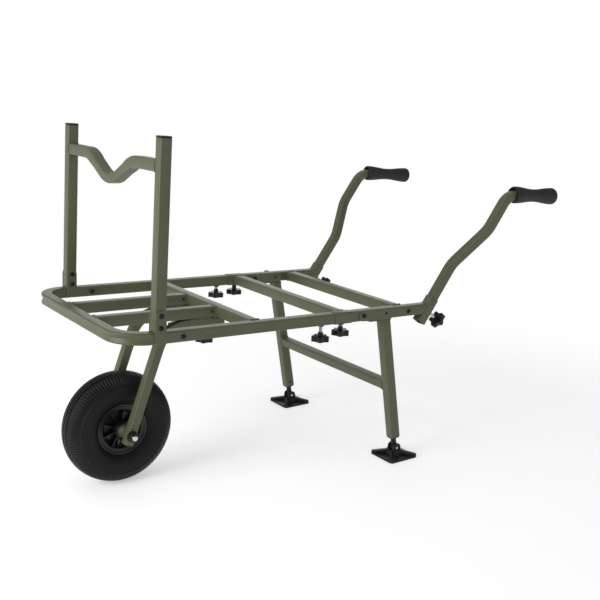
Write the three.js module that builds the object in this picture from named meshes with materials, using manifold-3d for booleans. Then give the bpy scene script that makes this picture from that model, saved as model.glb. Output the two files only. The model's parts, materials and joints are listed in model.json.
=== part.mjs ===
// A one-wheeled fishing trolley: a deck of square tube on a pneumatic wheel, two folding legs with
// tilting feet, a fold-down front gate with a V-shaped rest, and two pull-out handles.
// Millimetres. Everything is laid out in the deck's own frame: X runs back from the wheel to the
// handles, Y across (left is -Y, as seen by whoever pushes it), Z up, with the deck's top face at zero.
// The deck then pitches about Y, so that the wheel and both feet stand on level ground.

import * as THREE from "three";
import { mergeVertices } from "three/addons/utils/BufferGeometryUtils.js";
import Module from "manifold-3d";

const wasm = await Module();
wasm.setup();

const degrees = THREE.MathUtils.degToRad;
const bendFacet = degrees(18); // the turn of one facet in a bend

// Fits
const seat = 0.3; // gap between two faces that are welded, bolted or pressed together
const slide = 0.4; // gap around a tube that telescopes in another
const spin = 0.25; // radial gap of a pin or stud in the hole that it turns in
const overrun = 2; // how far a cutting body runs past what it cuts

// Stance of the deck on the ground
const deckPitch = degrees(2.19);
const deckHeight = 404.8; // of the deck's top face above the ground, square to the deck, at X = 0

// Square tube
const tube = 25;
const tubeWall = 1.5;
const tubeCorner = 3;
const slimTube = 21.4; // fork arms and handles
const slimWall = 1.5;
const slimCorner = 2.5;
const sleeveWall = 1.5; // sleeves that the slim tube slides in
const weldCrownShare = 0.8; // of the tube's corner radius, out from its flat face

// Plan of the deck
const railSpan = 482; // between the side rails' centre lines
const loopFrontX = -275.5; // centre line of the front tube
const loopBend = 66; // centre-line radius of the front corners
const bendDish = 4.7; // how far a bend's outer wall is drawn in
const bendDishWidth = 15;
const seamX = 241.5; // where the front frame ends and the rear frame's collar starts
const collarLength = 48.5;
const collarStep = 1.3; // how far the collar stands proud of the rail
const barSpan = 140; // between the two long bars' centre lines
const frontCrossX = 39;
const middleCrossX = 270.5;
const rearCrossX = 441.5;

// Telescoping tubes inside the side rails
const innerFrontX = -20;
const innerRearX = 311;
const innerCorner = 2;

// Gate: two posts and the V-shaped rest between them
const postX = -198.8; // centre line at the deck's top face
const postLean = degrees(0.93);
const postHeight = 387.2;
const capThickness = 4.5;
const capChamfer = 1.2;
const restHeight = 332.8; // of the rest's level ends, centre line
const restCornerY = 116; // where the level ends turn down
const restDrop = 56.6; // from the level ends to the valley's sharp corner
const restBend = 90;
const restPinchShare = 0.87; // the bent stretch is squeezed to this share of the tube's height

// Corner plates that join the posts to the rails
const plateThickness = 2.8;
const plateArmTop = 45;
const plateArmRear = -137.5;
const plateWidth = 25;
const plateFillet = 6;
const plateFoot = 20.5; // the plate's lower edge, below the deck's top face
const plateFootCorner = 5;
const postBoltLow = 9.3;
const postBoltHigh = 34.4;
const gateBoltX = -148;
const gateBoltDrop = 12.5;

// Button-head bolts
const boltShank = 6;
const boltHead = 11;
const boltHeadHeight = 3.4;

// Fork
const sleeveFrontX = -40;
const sleeveRearX = 50;
const forkRearX = 47;
const forkCornerX = -96.3; // where the arm's level and leaning centre lines would meet
const forkLean = degrees(18.47);
const forkBend = 72;
const forkTail = 22.5; // from the axle to the arm's lower end
const stripThickness = 1.4;
const stripWidth = 9;
const stripArc = degrees(48);
const stripSteps = 6;
const barEyeX = 16;
const barEyeDrop = 10.5;
const barEye = 5;

// Wheel
const tyreRadius = 130;
const tyreWidth = 85;
const axleDiameter = 12;
const axleHead = 20;
const axleHeadHeight = 8;
const nutFlats = 19; // across its flats
const nutSides = 6;
const nutHeight = 11;
const nutWasher = 26;
const nutWasherThickness = 3;
const axleTip = 4;
const axleHeadShares = { bevel: 0.7, top: 0.8 };
const rimLip = 61; // radius of the rim's flange
const rimLipHalf = 31; // from the wheel's middle plane to the flange's outer face
const rimSeat = 48; // radius of the bead seat
const rimWell = 40; // radius of the drop centre
const rimThickness = 4;
const rimWebHalf = 9; // from the wheel's middle plane to the web's face
const rimRibs = 9;
const rimRibThickness = 3;
const rimFacets = 18;
const hubRadius = 19;
const hubHalf = 34.5;
const bearingOuter = 14;
const bearingWidth = 10;
const bearingFlange = 16.5;
const bearingFlangeThickness = 1.8;
const spacerHub = 15; // radius of the cup's wide end
const spacerArm = 10; // radius of its narrow end
const spacerShares = { rim: 0.18, waist: 0.62, hollow: 0.5 }; // of its length, from the hub
const valveRadius = 3.6;
const valveLength = 20;
const valveTip = 2.5; // radius of its threaded end
const valveShares = { shoulder: 0.7, tip: 0.78 }; // of its length
const valvePlace = degrees(260);
const valveLean = degrees(29); // from the wheel's middle plane out to the left

// Tyre section and tread
const treadHalf = 24.5; // half-width of the ribbed crown
const treadGroove = 3.2;
const treadGrooveWidth = 3.6;
const treadRibs = 4;
const treadZigzag = 2.4; // how far the grooves swing from side to side
const shoulderBlocks = 16;
const shoulderDepth = 2.4;
const shoulderTurn = degrees(45); // of the oval that shapes the shoulder, from its widest point
const shoulderSquareness = 0.95; // below 1, the oval is squarer
const shoulderSteps = 2;
const wallSteps = 2;
const tyreThickness = 6;
const crownDrop = 5.5; // how far the crown falls from its middle to its edge

// Clamp knobs
const knobRadius = 20.4;
const knobFlute = 4.6; // depth of the scallops between the lobes
const knobFluteShape = 0.75; // below 1, the lobes are narrower than the scallops
const knobLobes = 5;
const knobLobeSteps = 4;
const knobHeight = 12.5; // of the lobed body
const knobBevel = 2;
const knobNeck = 6;
const knobNeckAbove = 4.5; // how far the neck reaches up past the knob's place on its stud
const knobNeckBelow = 4; // from that place down to the lobed body
const studRadius = 4;
const bossRadius = 8.5;
const bossTip = 6;
const bossHeight = 4;
const frontKnobX = 210;
const rearKnobX = 266;
const forkKnobX = 4.4;
const frontKnobDrop = 47; // from the deck's top face to the knob's place, left side
const rearKnobDrop = 38;
const forkKnobDrop = 67;
const farKnobLift = 7; // the right-hand front knob is screwed in this much further
const farRearKnobLift = 2;

// Handles
const socketTilt = degrees(55.5);
const socketLength = 68.7;
const socketMiddleX = 525.45;
const socketMiddleDrop = 17.5;
const socketInset = 9; // from the socket's lower end to the handle tube's end
const handleKnobReach = 27.5; // from the socket's rear face to the knob's place
const handleRise = 98.2; // along the socket's line, from its upper end to the jog
const jogRise = 109.4;
const jogOut = 52.7;
const handleUpper = 103.9; // from the jog to the grip's bend
const handleBend = 52;
const jogBend = 70;
const gripTilt = degrees(-2.6); // below zero, the grips fall away from the bend
const gripToe = degrees(2.2); // the grips toe in
const handleEnd = 163.5; // from the bend's corner to the tube's end
const gripLength = 150;
const gripEnd = 21;
const gripWaist = 16.4;
const gripRound = 5;
const gripRoundShare = 0.3; // where the rounding's one middle ring lies
const gripCap = 4; // foam beyond the tube's end
const gripMouthDepth = 15; // the mouth is stretched wide where it runs onto the bend
const gripMouthGap = 1.8;

// Legs
const legFrontX = 377.6; // the leg's front face, at the deck's top face
const legLean = degrees(11.06);
const legSplay = degrees(0.5);
const legInset = 3; // from the rail's outer face to the leg's
const tieDrop = 198.5;
const tieTube = 23;
const tieCorner = 2.8;
const bracketThickness = 2.6;
const bracketPivotX = 322;
const bracketPivotDrop = 11.5;
const bracketNose = 13.2; // radius of the plate's front end
const bracketRearX = 411;
const bracketChamfer = 9;
const bracketFloorX = 340;
const lockX = 389;
const lockDrop = 11;
const lockHole = 6;
const plungerHead = 15;
const plungerRadius = 9.5;
const plungerFoot = 6.7;
const plungerTop = 7.1;
const plungerShares = { swell: 0.3, shoulder: 0.8 }; // of its head's height
const plungerTravel = 7;
const railBoltGap = 49; // behind the bracket
const railBoltX = bracketRearX + railBoltGap;
const railBoltDrop = 13;

// Feet
const plugFlange = 3;
const plugDepth = 14;
const stemRadius = 7;
const footPinHeight = 23; // above the ground
const stemDrop = 30; // from the leg's end down to the foot's pin
const footPin = 3;
const lugRadius = 8;
const lugWidth = 2 * stemRadius;
const earThickness = 4;
const earRadius = 12;
const footLength = 84;
const footWidth = 84;
const footChamfer = 5;
const footEdge = 4.5; // height of the pad between its ridges
const footEdgeBevel = 1.2;
const footHub = 27; // the raised middle's width
const footHubHeight = 17.5;
const footHubSkirt = 36; // width at the raised middle's foot
const footRidge = 11; // width of the ridges that run out to the corners
const footRidges = 4;
const footRidgeEnd = 9; // height of a ridge at its corner

// Where the pieces lie, from the sizes above
const half = tube / 2;
const slimHalf = slimTube / 2;
const railY = railSpan / 2;
const railOuterY = railY + half;
const railInnerY = railY - half;
const barY = barSpan / 2;
const underside = -tube;
const sleeveZ = underside - seat - half; // centre line of the fork sleeves and level fork arms
// The axle lies where the leaning arms' centre line is the tyre's radius above the ground.
const armFall = sleeveZ + deckHeight - tyreRadius / Math.cos(deckPitch);
const armRun = forkCornerX - armFall * Math.tan(forkLean);
const axleX = armRun / (1 - Math.tan(deckPitch) * Math.tan(forkLean));
const axleZ = sleeveZ - (forkCornerX - axleX) / Math.tan(forkLean);
const spacerFace = barY - slimHalf - seat;
const innerSize = tube - 2 * tubeWall - 2 * slide;

// Finishes
const finish = (color, roughness, metalness) => ({ color, roughness, metalness });
const olive = finish(0x5c5f48, 0.5, 0.1);
const black = finish(0x242426, 0.65, 0);
const rubber = finish(0x1d1d1f, 0.9, 0);
const foam = finish(0x1a1a1c, 0.95, 0);
const blackSteel = finish(0x2b2b30, 0.4, 0.7);
const steel = finish(0xb9babd, 0.3, 1);

const X = new THREE.Vector3(1, 0, 0);
const Y = new THREE.Vector3(0, 1, 0);
const Z = new THREE.Vector3(0, 0, 1);
const vec = (x, y, z) => new THREE.Vector3(x, y, z);

// A closed three.js geometry as a solid that can be joined and cut.
function solid(geometry) {
  const bare = geometry.clone();
  bare.deleteAttribute("normal");
  bare.deleteAttribute("uv");
  const merged = mergeVertices(bare);
  return new wasm.Manifold(
    new wasm.Mesh({
      numProp: 3,
      vertProperties: new Float32Array(merged.attributes.position.array),
      triVerts: new Uint32Array(merged.index.array),
    }),
  );
}

// A solid as a three.js geometry again.
function geometryOf(body) {
  const mesh = body.getMesh();
  const geometry = new THREE.BufferGeometry();
  const positions = new Float32Array(mesh.numVert * 3);
  for (let i = 0; i < mesh.numVert; i += 1) {
    positions.set(mesh.vertProperties.subarray(i * mesh.numProp, i * mesh.numProp + 3), i * 3);
  }
  geometry.setAttribute("position", new THREE.BufferAttribute(positions, 3));
  geometry.setIndex(new THREE.BufferAttribute(new Uint32Array(mesh.triVerts), 1));
  geometry.computeVertexNormals();
  return geometry;
}

function mesh(name, body, look) {
  const geometry = body.isBufferGeometry ? body : geometryOf(body);
  const made = new THREE.Mesh(geometry, new THREE.MeshStandardMaterial(look));
  made.name = name;
  return made;
}

// Turns a geometry built along +Z so that its Z runs along an axis, and moves it to a point.
// Its Y stays as near as it can to the side direction.
function stand(geometry, point, axis, side = Y) {
  const w = axis.clone().normalize();
  const u = side.clone().cross(w).normalize();
  const v = w.clone().cross(u);
  const place = new THREE.Matrix4().makeBasis(u, v, w).setPosition(point);
  return geometry.clone().applyMatrix4(place);
}

// A round bar of constant radius from one point along an axis.
function rod(point, axis, radius, length, segments = 10) {
  const geometry = new THREE.CylinderGeometry(radius, radius, length, segments);
  geometry.rotateX(Math.PI / 2);
  geometry.translate(0, 0, length / 2);
  return solid(stand(geometry, point, axis, sideFor(axis)));
}

function sideFor(axis) {
  return Math.abs(axis.y) > Math.SQRT1_2 * axis.length() ? Z : Y;
}

// A body turned about its own Z: the profile lists radius and height pairs and starts and ends on the axis.
function turned(profile, point, axis, segments = 12) {
  const geometry = new THREE.LatheGeometry(
    profile.map(([radius, height]) => new THREE.Vector2(radius, height)),
    segments,
  );
  geometry.rotateX(Math.PI / 2);
  return solid(stand(geometry, point, axis, sideFor(axis)));
}

// The corner points of a rounded rectangle, anticlockwise, starting and ending beside its +U side.
function roundedLoop(width, height, corner, cornerSteps = 2) {
  const loop = [];
  const centres = [
    [width / 2 - corner, height / 2 - corner],
    [corner - width / 2, height / 2 - corner],
    [corner - width / 2, corner - height / 2],
    [width / 2 - corner, corner - height / 2],
  ];
  centres.forEach(([u, v], quarter) => {
    for (let step = 0; step <= cornerSteps; step += 1) {
      const turn = (quarter + step / cornerSteps) * (Math.PI / 2);
      loop.push(new THREE.Vector2(u + corner * Math.cos(turn), v + corner * Math.sin(turn)));
    }
  });
  return loop;
}

const squareLoop = (size) => [
  new THREE.Vector2(size / 2, size / 2),
  new THREE.Vector2(-size / 2, size / 2),
  new THREE.Vector2(-size / 2, -size / 2),
  new THREE.Vector2(size / 2, -size / 2),
];

// A straight length of square tube, open at both ends.
function straightTube(start, end, size = tube, wall = tubeWall, corner = tubeCorner, side = Y) {
  const shape = new THREE.Shape(roundedLoop(size, size, corner));
  if (wall > 0) {
    shape.holes.push(new THREE.Path(squareLoop(size - 2 * wall).reverse()));
  }
  const run = end.clone().sub(start);
  const geometry = new THREE.ExtrudeGeometry(shape, { depth: run.length(), bevelEnabled: false });
  return solid(stand(geometry, start, run, side));
}

// A path of straight runs joined by arcs: a list of stations, each with its place, its direction,
// and how far through a bend it lies, from 0 at the bend's start to 1 at its end.
function bentPath(corners, radii) {
  const stations = [];
  const last = corners.length - 1;
  const direction = (i) => corners[i + 1].clone().sub(corners[i]).normalize();
  stations.push({ at: corners[0].clone(), along: direction(0), through: 0, outward: vec(0, 0, 0) });
  for (let i = 1; i < last; i += 1) {
    const inward = direction(i - 1);
    const leaving = direction(i);
    const angle = inward.angleTo(leaving);
    const radius = radii[i - 1];
    const bendSteps = Math.max(2, Math.round(angle / bendFacet));
    const toCentre = leaving.clone().addScaledVector(inward, -leaving.dot(inward)).normalize();
    const start = corners[i].clone().addScaledVector(inward, -radius * Math.tan(angle / 2));
    const centre = start.clone().addScaledVector(toCentre, radius);
    for (let step = 0; step <= bendSteps; step += 1) {
      const turn = (angle * step) / bendSteps;
      const outward = inward
        .clone()
        .multiplyScalar(Math.sin(turn))
        .addScaledVector(toCentre, -Math.cos(turn));
      const along = inward
        .clone()
        .multiplyScalar(Math.cos(turn))
        .addScaledVector(toCentre, Math.sin(turn));
      const at = centre.clone().addScaledVector(outward, radius);
      stations.push({ at, along, through: step / bendSteps, outward });
    }
  }
  const end = corners[last].clone();
  stations.push({ at: end, along: direction(last - 1), through: 0, outward: vec(0, 0, 0) });
  return stations;
}

// Carries a section along a path without twist. The section is a function of a station, and gives a
// loop of (u, v) points, where u starts out along the first side direction.
function sweptLoops(stations, firstSide, section) {
  let u = firstSide.clone();
  return stations.map((station, i) => {
    if (i > 0) {
      const turn = new THREE.Quaternion().setFromUnitVectors(stations[i - 1].along, station.along);
      u = u.applyQuaternion(turn);
    }
    u = u.clone().addScaledVector(station.along, -u.dot(station.along)).normalize();
    const v = station.along.clone().cross(u);
    return section(station, i, u, v).map((p) =>
      station.at.clone().addScaledVector(u, p.x).addScaledVector(v, p.y),
    );
  });
}

// A skin over a run of convex-ended loops, closed by flat ends.
function skinned(loops) {
  const positions = loops.flat().flatMap((p) => [p.x, p.y, p.z]);
  const index = [];
  const count = loops[0].length;
  const end = (loops.length - 1) * count;
  for (let first = 0; first < end; first += count) {
    for (let j = 0; j < count; j += 1) {
      const here = first + j;
      const beside = first + ((j + 1) % count);
      index.push(here, beside, beside + count, here, beside + count, here + count);
    }
  }
  for (let j = 1; j < count - 1; j += 1) {
    index.push(0, j + 1, j, end, end + j, end + j + 1);
  }
  const geometry = new THREE.BufferGeometry();
  geometry.setAttribute("position", new THREE.Float32BufferAttribute(positions, 3));
  geometry.setIndex(index);
  return geometry;
}

// A tube along a path: the outer section's skin, less the bore's, which runs out past both ends.
function sweptTube(stations, firstSide, outerSection, boreSection) {
  const longer = stations.map((station) => ({ ...station }));
  const first = longer[0];
  const last = longer[longer.length - 1];
  first.at = first.at.clone().addScaledVector(first.along, -overrun);
  last.at = last.at.clone().addScaledVector(last.along, overrun);
  const outside = solid(skinned(sweptLoops(stations, firstSide, outerSection)));
  return outside.subtract(solid(skinned(sweptLoops(longer, firstSide, boreSection))));
}

// A length of square tube bent along a path.
function bentTube(stations, firstSide, size, wall, corner) {
  const outside = roundedLoop(size, size, corner);
  const bore = squareLoop(size - 2 * wall);
  return sweptTube(stations, firstSide, () => outside, () => bore);
}

// A flat plate cut to an outline in X and Z, lying square to Y between two Y values.
function uprightPlate(outline, yFrom, yTo) {
  const geometry = new THREE.ExtrudeGeometry(outline, {
    depth: Math.abs(yTo - yFrom),
    bevelEnabled: false,
    curveSegments: 3,
  });
  geometry.rotateX(Math.PI / 2);
  geometry.translate(0, Math.max(yFrom, yTo), 0);
  return solid(geometry);
}

// A block between two corners.
function block(low, high) {
  const size = high.clone().sub(low);
  const geometry = new THREE.BoxGeometry(size.x, size.y, size.z);
  geometry.translate(...low.clone().add(high).multiplyScalar(0.5));
  return solid(geometry);
}

// A round weld nut under a tube, and the hole that a clamp stud screws through.
function withBoss(body, at, down) {
  const profile = [
    [0, -tubeWall / 2],
    [bossRadius, -tubeWall / 2],
    [bossRadius, bossHeight / 4],
    [bossTip, bossHeight],
    [0, bossHeight],
  ];
  const start = at.clone().addScaledVector(down, -half);
  return body
    .add(turned(profile, at, down, 10))
    .subtract(rod(start, down, studRadius + spin, half + bossHeight + overrun));
}

// A lobed clamp knob with its neck and threaded stud. The stud's tip is at the given reach from the
// knob's place, and the knob's own axis points from the stud's tip to its flat end.
function clampKnob(reach) {
  const steps = knobLobeSteps * knobLobes;
  const outline = [];
  for (let i = 0; i < steps; i += 1) {
    const turn = (2 * Math.PI * i) / steps;
    const hollow = Math.sin((knobLobes * turn) / 2) ** 2;
    const radius = knobRadius - knobBevel - knobFlute * hollow ** knobFluteShape;
    outline.push(new THREE.Vector2(radius * Math.cos(turn), radius * Math.sin(turn)));
  }
  const body = new THREE.ExtrudeGeometry(new THREE.Shape(outline), {
    depth: knobHeight - 2 * knobBevel,
    bevelSize: knobBevel,
    bevelThickness: knobBevel,
    bevelSegments: 1,
  });
  body.translate(0, 0, knobNeckBelow + knobBevel);
  const root = knobNeckBelow + knobHeight / 2;
  return solid(body)
    .add(rod(vec(0, 0, -knobNeckAbove), Z, knobNeck, knobNeckAbove + root))
    .add(rod(vec(0, 0, -reach), Z, studRadius, reach + root));
}

// A knob placed at a point on its stud, pointing along an axis.
function placedKnob(name, at, axis, reach) {
  const knob = mesh(name, clampKnob(reach), black);
  knob.position.copy(at);
  knob.quaternion.setFromUnitVectors(Z, axis);
  return knob;
}

// A button-head bolt from a head face at one Y to a nut face at another.
const boltDome = [
  [0, 0],
  [boltHead / 2, 0],
  [boltHead / 2, boltHeadHeight / 3],
  [boltHead / 3, boltHeadHeight],
  [0, boltHeadHeight],
];

function buttonBolt(x, z, yHead, yNut) {
  const outward = yHead < yNut ? Y.clone().negate() : Y.clone();
  const head = vec(x, yHead, z);
  const nut = vec(x, yNut, z);
  return turned(boltDome, head, outward, 8)
    .add(rod(nut, outward.clone().negate(), boltHead / 2, boltHeadHeight, 6))
    .add(rod(nut, outward, boltShank / 2, Math.abs(yHead - yNut), 8));
}

const sides = [
  { name: "left", sign: -1 },
  { name: "right", sign: 1 },
];

// The front frame's bent side rails and front tube in one length, with a furrow down each corner's
// outer wall, as thin square tube is bent.
function frontLoop() {
  const middle = -half;
  const corners = [
    vec(seamX - seat, -railY, middle),
    vec(loopFrontX, -railY, middle),
    vec(loopFrontX, railY, middle),
    vec(seamX - seat, railY, middle),
  ];
  const stations = bentPath(corners, [loopBend, loopBend]);
  const dishAt = (station) => bendDish * Math.sin(Math.PI * station.through);
  const furrow = (face, station) => [
    new THREE.Vector2(face, -bendDishWidth / 2),
    new THREE.Vector2(face - dishAt(station), 0),
    new THREE.Vector2(face, bendDishWidth / 2),
  ];
  const outside = (station) => [...roundedLoop(tube, tube, tubeCorner), ...furrow(half, station)];
  const bore = (station) => [
    ...squareLoop(tube - 2 * tubeWall),
    ...furrow(half - tubeWall, station),
  ];
  let body = sweptTube(stations, vec(0, -1, 0), outside, bore);
  const down = Z.clone().negate();
  sides.forEach(({ sign }) => {
    body = withBoss(body, vec(frontKnobX, sign * railY, underside), down);
    const boltStart = vec(gateBoltX, sign * railY - half - overrun, -gateBoltDrop);
    body = body.subtract(rod(boltStart, Y, boltShank / 2 + spin, tube + 2 * overrun));
  });
  return body;
}

// A long bar of the deck, with the fork sleeve welded under it and the sleeve's clamp boss.
function longBar(sign) {
  const y = sign * barY;
  const barStart = vec(loopFrontX + half + seat, y, -half);
  const barEnd = vec(frontCrossX - half - seat, y, -half);
  let body = straightTube(barStart, barEnd).add(
    straightTube(vec(sleeveFrontX, y, sleeveZ), vec(sleeveRearX, y, sleeveZ), tube, sleeveWall),
  );
  [-1, 1].forEach((side) => {
    const beadY = y + side * (half - tubeCorner);
    const legs = [vec(0, side, 0), Z.clone().multiplyScalar(side)];
    const from = vec(sleeveFrontX + tube, beadY, underside);
    const to = vec(frontCrossX - tube, beadY, underside);
    body = body.add(weldSeam(from, to, legs[0]));
  });
  body = withBoss(body, vec(forkKnobX, y, sleeveZ - half), Z.clone().negate());
  const eye = vec(barEyeX, y - half - overrun, -barEyeDrop);
  return body.subtract(rod(eye, Y, barEye / 2, tubeWall + 2 * overrun));
}

// A rounded run of weld that closes the gap between two stacked tubes, beside their flat faces.
function weldSeam(from, to, outward) {
  const loopAt = (p) => [
    p.clone().addScaledVector(outward, -tubeCorner).addScaledVector(Z, -seat - tubeWall / 2),
    p.clone().addScaledVector(outward, tubeCorner / 2).addScaledVector(Z, -seat - tubeWall / 2),
    p.clone().addScaledVector(outward, tubeCorner * weldCrownShare).addScaledVector(Z, -seat / 2),
    p.clone().addScaledVector(outward, tubeCorner / 2).addScaledVector(Z, tubeWall / 2),
    p.clone().addScaledVector(outward, -tubeCorner).addScaledVector(Z, tubeWall / 2),
  ];
  const flip = outward.y > 0;
  const loops = flip ? [loopAt(from), loopAt(to)] : [loopAt(to), loopAt(from)];
  return solid(skinned(loops));
}

function crossbar(x, inset = 0) {
  const reach = railInnerY - inset - seat;
  return straightTube(vec(x, -reach, -half), vec(x, reach, -half), tube, tubeWall, tubeCorner, Z);
}

// A telescoping tube that joins the front and rear frames inside a side rail.
function innerTube(sign) {
  const y = sign * railY;
  const start = vec(innerFrontX, y, -half);
  return straightTube(start, vec(innerRearX, y, -half), innerSize, tubeWall, innerCorner);
}

// The line of a handle socket, from its lower end up.
const socketAlong = vec(Math.cos(socketTilt), 0, Math.sin(socketTilt));
const socketRear = vec(Math.sin(socketTilt), 0, -Math.cos(socketTilt)); // normal of its rear face
const socketPoint = (sign, along) =>
  vec(socketMiddleX, sign * railY, -socketMiddleDrop).addScaledVector(socketAlong, along);

// A rear side rail: collar, boss, holes, and the slanted handle socket welded on its end.
function rearRail(sign) {
  const y = sign * railY;
  const down = Z.clone().negate();
  const socketSize = tube;
  let rail = straightTube(vec(seamX, y, -half), vec(socketMiddleX + tube, y, -half));
  const collar = straightTube(
    vec(seamX, y, -half),
    vec(seamX + collarLength, y, -half),
    tube + 2 * collarStep,
    collarStep + tubeWall / 2,
    tubeCorner + collarStep,
  );
  rail = withBoss(rail.add(collar), vec(rearKnobX, y, underside - collarStep), down);
  // The rail stops inside the socket's front wall.
  const cutSize = 3 * tube;
  const cutter = new THREE.BoxGeometry(cutSize, cutSize, cutSize);
  const cutCentre = socketPoint(sign, 0).addScaledVector(
    socketRear,
    cutSize / 2 - socketSize / 2 + sleeveWall / 2,
  );
  rail = rail.subtract(solid(stand(cutter, cutCentre, socketAlong)));
  const socketStart = socketPoint(sign, -socketLength / 2);
  const socketEnd = socketPoint(sign, socketLength / 2);
  rail = rail.add(straightTube(socketStart, socketEnd, socketSize, sleeveWall));
  const across = railSpan;
  const pivot = vec(bracketPivotX, y - across / 2, -bracketPivotDrop);
  const lock = vec(lockX, y - across / 2, -lockDrop);
  const bolt = vec(railBoltX, sign * railOuterY - sign * overrun, -railBoltDrop);
  const out = vec(0, sign, 0);
  rail = rail
    .subtract(rod(pivot, Y, boltShank / 2 + spin, across))
    .subtract(rod(lock, Y, lockHole / 2, across))
    .subtract(rod(bolt, out, boltShank / 2 + spin, 2 * overrun));
  const knobAt = socketPoint(sign, 0).addScaledVector(socketRear, tube / 2);
  return withBoss(rail, knobAt, socketRear);
}

// A gate post with the holes for its two bolts.
function post(sign) {
  const lift = seat + half * Math.tan(postLean);
  let body = straightTube(vec(0, sign * railY, lift), vec(0, sign * railY, postHeight));
  [postBoltLow, postBoltHigh].forEach((z) => {
    const start = vec(0, sign * railY - half - overrun, z);
    body = body.subtract(rod(start, Y, boltShank / 2 + spin, tube + 2 * overrun));
  });
  return body;
}

// The plastic cap in a post's open end.
function postCap(sign) {
  const inside = tube - 2 * tubeWall - 2 * seat;
  const top = postHeight + seat;
  const y = sign * railY;
  const corner = tubeCorner - tubeWall;
  const bung = straightTube(vec(0, y, top - capThickness * 2), vec(0, y, top + seat), inside, 0, corner);
  const loopAt = (z, size) =>
    roundedLoop(size, size, tubeCorner).map((p) => vec(p.x, y + p.y, z));
  const lid = skinned([
    loopAt(top, tube),
    loopAt(top + capThickness - capChamfer, tube),
    loopAt(top + capThickness, tube - 2 * capChamfer),
  ]);
  return bung.add(solid(lid));
}

// The V-shaped rest: one length of tube, level at its ends, bent down to a valley and squeezed there.
function restBar() {
  const end = railInnerY - seat;
  const corners = [
    vec(0, -end, restHeight),
    vec(0, -restCornerY, restHeight),
    vec(0, 0, restHeight - restDrop),
    vec(0, restCornerY, restHeight),
    vec(0, end, restHeight),
  ];
  const stations = bentPath(corners, [restBend, restBend, restBend]);
  const squeeze = (station) => {
    const fromValley = Math.abs(station.at.y);
    const share = THREE.MathUtils.smoothstep(fromValley, restCornerY - tube, restCornerY + tube);
    return restPinchShare + (1 - restPinchShare) * share;
  };
  const squeezed = (loop) => (station) =>
    loop.map((p) => new THREE.Vector2(p.x, p.y * squeeze(station)));
  const outside = roundedLoop(tube, tube, tubeCorner);
  const bore = squareLoop(tube - 2 * tubeWall);
  return sweptTube(stations, X, squeezed(outside), squeezed(bore));
}

// The outline of a corner plate: one arm up the post and one along the rail.
function cornerPlateShape() {
  const front = postX - half;
  const armRear = front + plateWidth;
  const shape = new THREE.Shape();
  shape.moveTo(front, -plateFoot + plateFootCorner);
  shape.absarc(
    front + plateFootCorner, -plateFoot + plateFootCorner, plateFootCorner, Math.PI, 1.5 * Math.PI);
  const railArmTop = -tubeWall;
  const noseRadius = (railArmTop + plateFoot) / 2;
  shape.absarc(
    plateArmRear - noseRadius, -plateFoot + noseRadius, noseRadius, -Math.PI / 2, Math.PI / 2);
  shape.absarc(armRear + plateFillet, railArmTop + plateFillet, plateFillet, 1.5 * Math.PI, Math.PI, true);
  shape.absarc(front + plateWidth / 2, plateArmTop - plateWidth / 2, plateWidth / 2, 0, Math.PI);
  return shape;
}

// A corner plate on the outer or inner side of a post, in the frame of the deck.
function cornerPlate(sign, outer) {
  const face = outer ? railOuterY + seat : railInnerY - seat;
  const away = outer ? plateThickness : -plateThickness;
  let body = uprightPlate(cornerPlateShape(), sign * face, sign * (face + away));
  const holes = [[gateBoltX, -gateBoltDrop]];
  if (!outer) {
    holes.push([postBoltX(postBoltLow), postBoltLow], [postBoltX(postBoltHigh), postBoltHigh]);
  }
  holes.forEach(([x, z]) => {
    const start = vec(x, sign * face - 2 * plateThickness, z);
    body = body.subtract(rod(start, Y, boltShank / 2 + spin, 4 * plateThickness));
  });
  if (outer) {
    const head = sign * (railOuterY + seat + plateThickness - seat);
    const nut = sign * (railInnerY - 2 * seat - plateThickness);
    body = body
      .add(buttonBolt(postBoltX(postBoltLow), postBoltLow, head, nut))
      .add(buttonBolt(postBoltX(postBoltHigh), postBoltHigh, head, nut));
  }
  return body;
}

const postBoltX = (z) => postX + z * Math.tan(postLean);

// The bolt that the gate folds about, through both plates and the rail.
function gateBolt(sign) {
  const head = sign * (railOuterY + 2 * seat + plateThickness);
  const nut = sign * (railInnerY - 2 * seat - plateThickness);
  return buttonBolt(gateBoltX, -gateBoltDrop, head, nut);
}

const forkDown = vec(-Math.sin(forkLean), 0, -Math.cos(forkLean));
const forkEndZ = axleZ - forkTail * Math.cos(forkLean);

function forkPath(sign) {
  const y = sign * barY;
  const corner = vec(forkCornerX, y, sleeveZ);
  const drop = (sleeveZ - forkEndZ) / Math.cos(forkLean);
  const corners = [vec(forkRearX, y, sleeveZ), corner, corner.clone().addScaledVector(forkDown, drop)];
  return bentPath(corners, [forkBend]);
}

// A fork arm: level in its sleeve, then bent down to the axle.
function forkArm(sign) {
  const body = bentTube(forkPath(sign), Y, slimTube, slimWall, slimCorner);
  const bore = vec(axleX, sign * barY - slimTube, axleZ);
  return body.subtract(rod(bore, Y, axleDiameter / 2 + spin, 2 * slimTube, 14));
}

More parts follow.
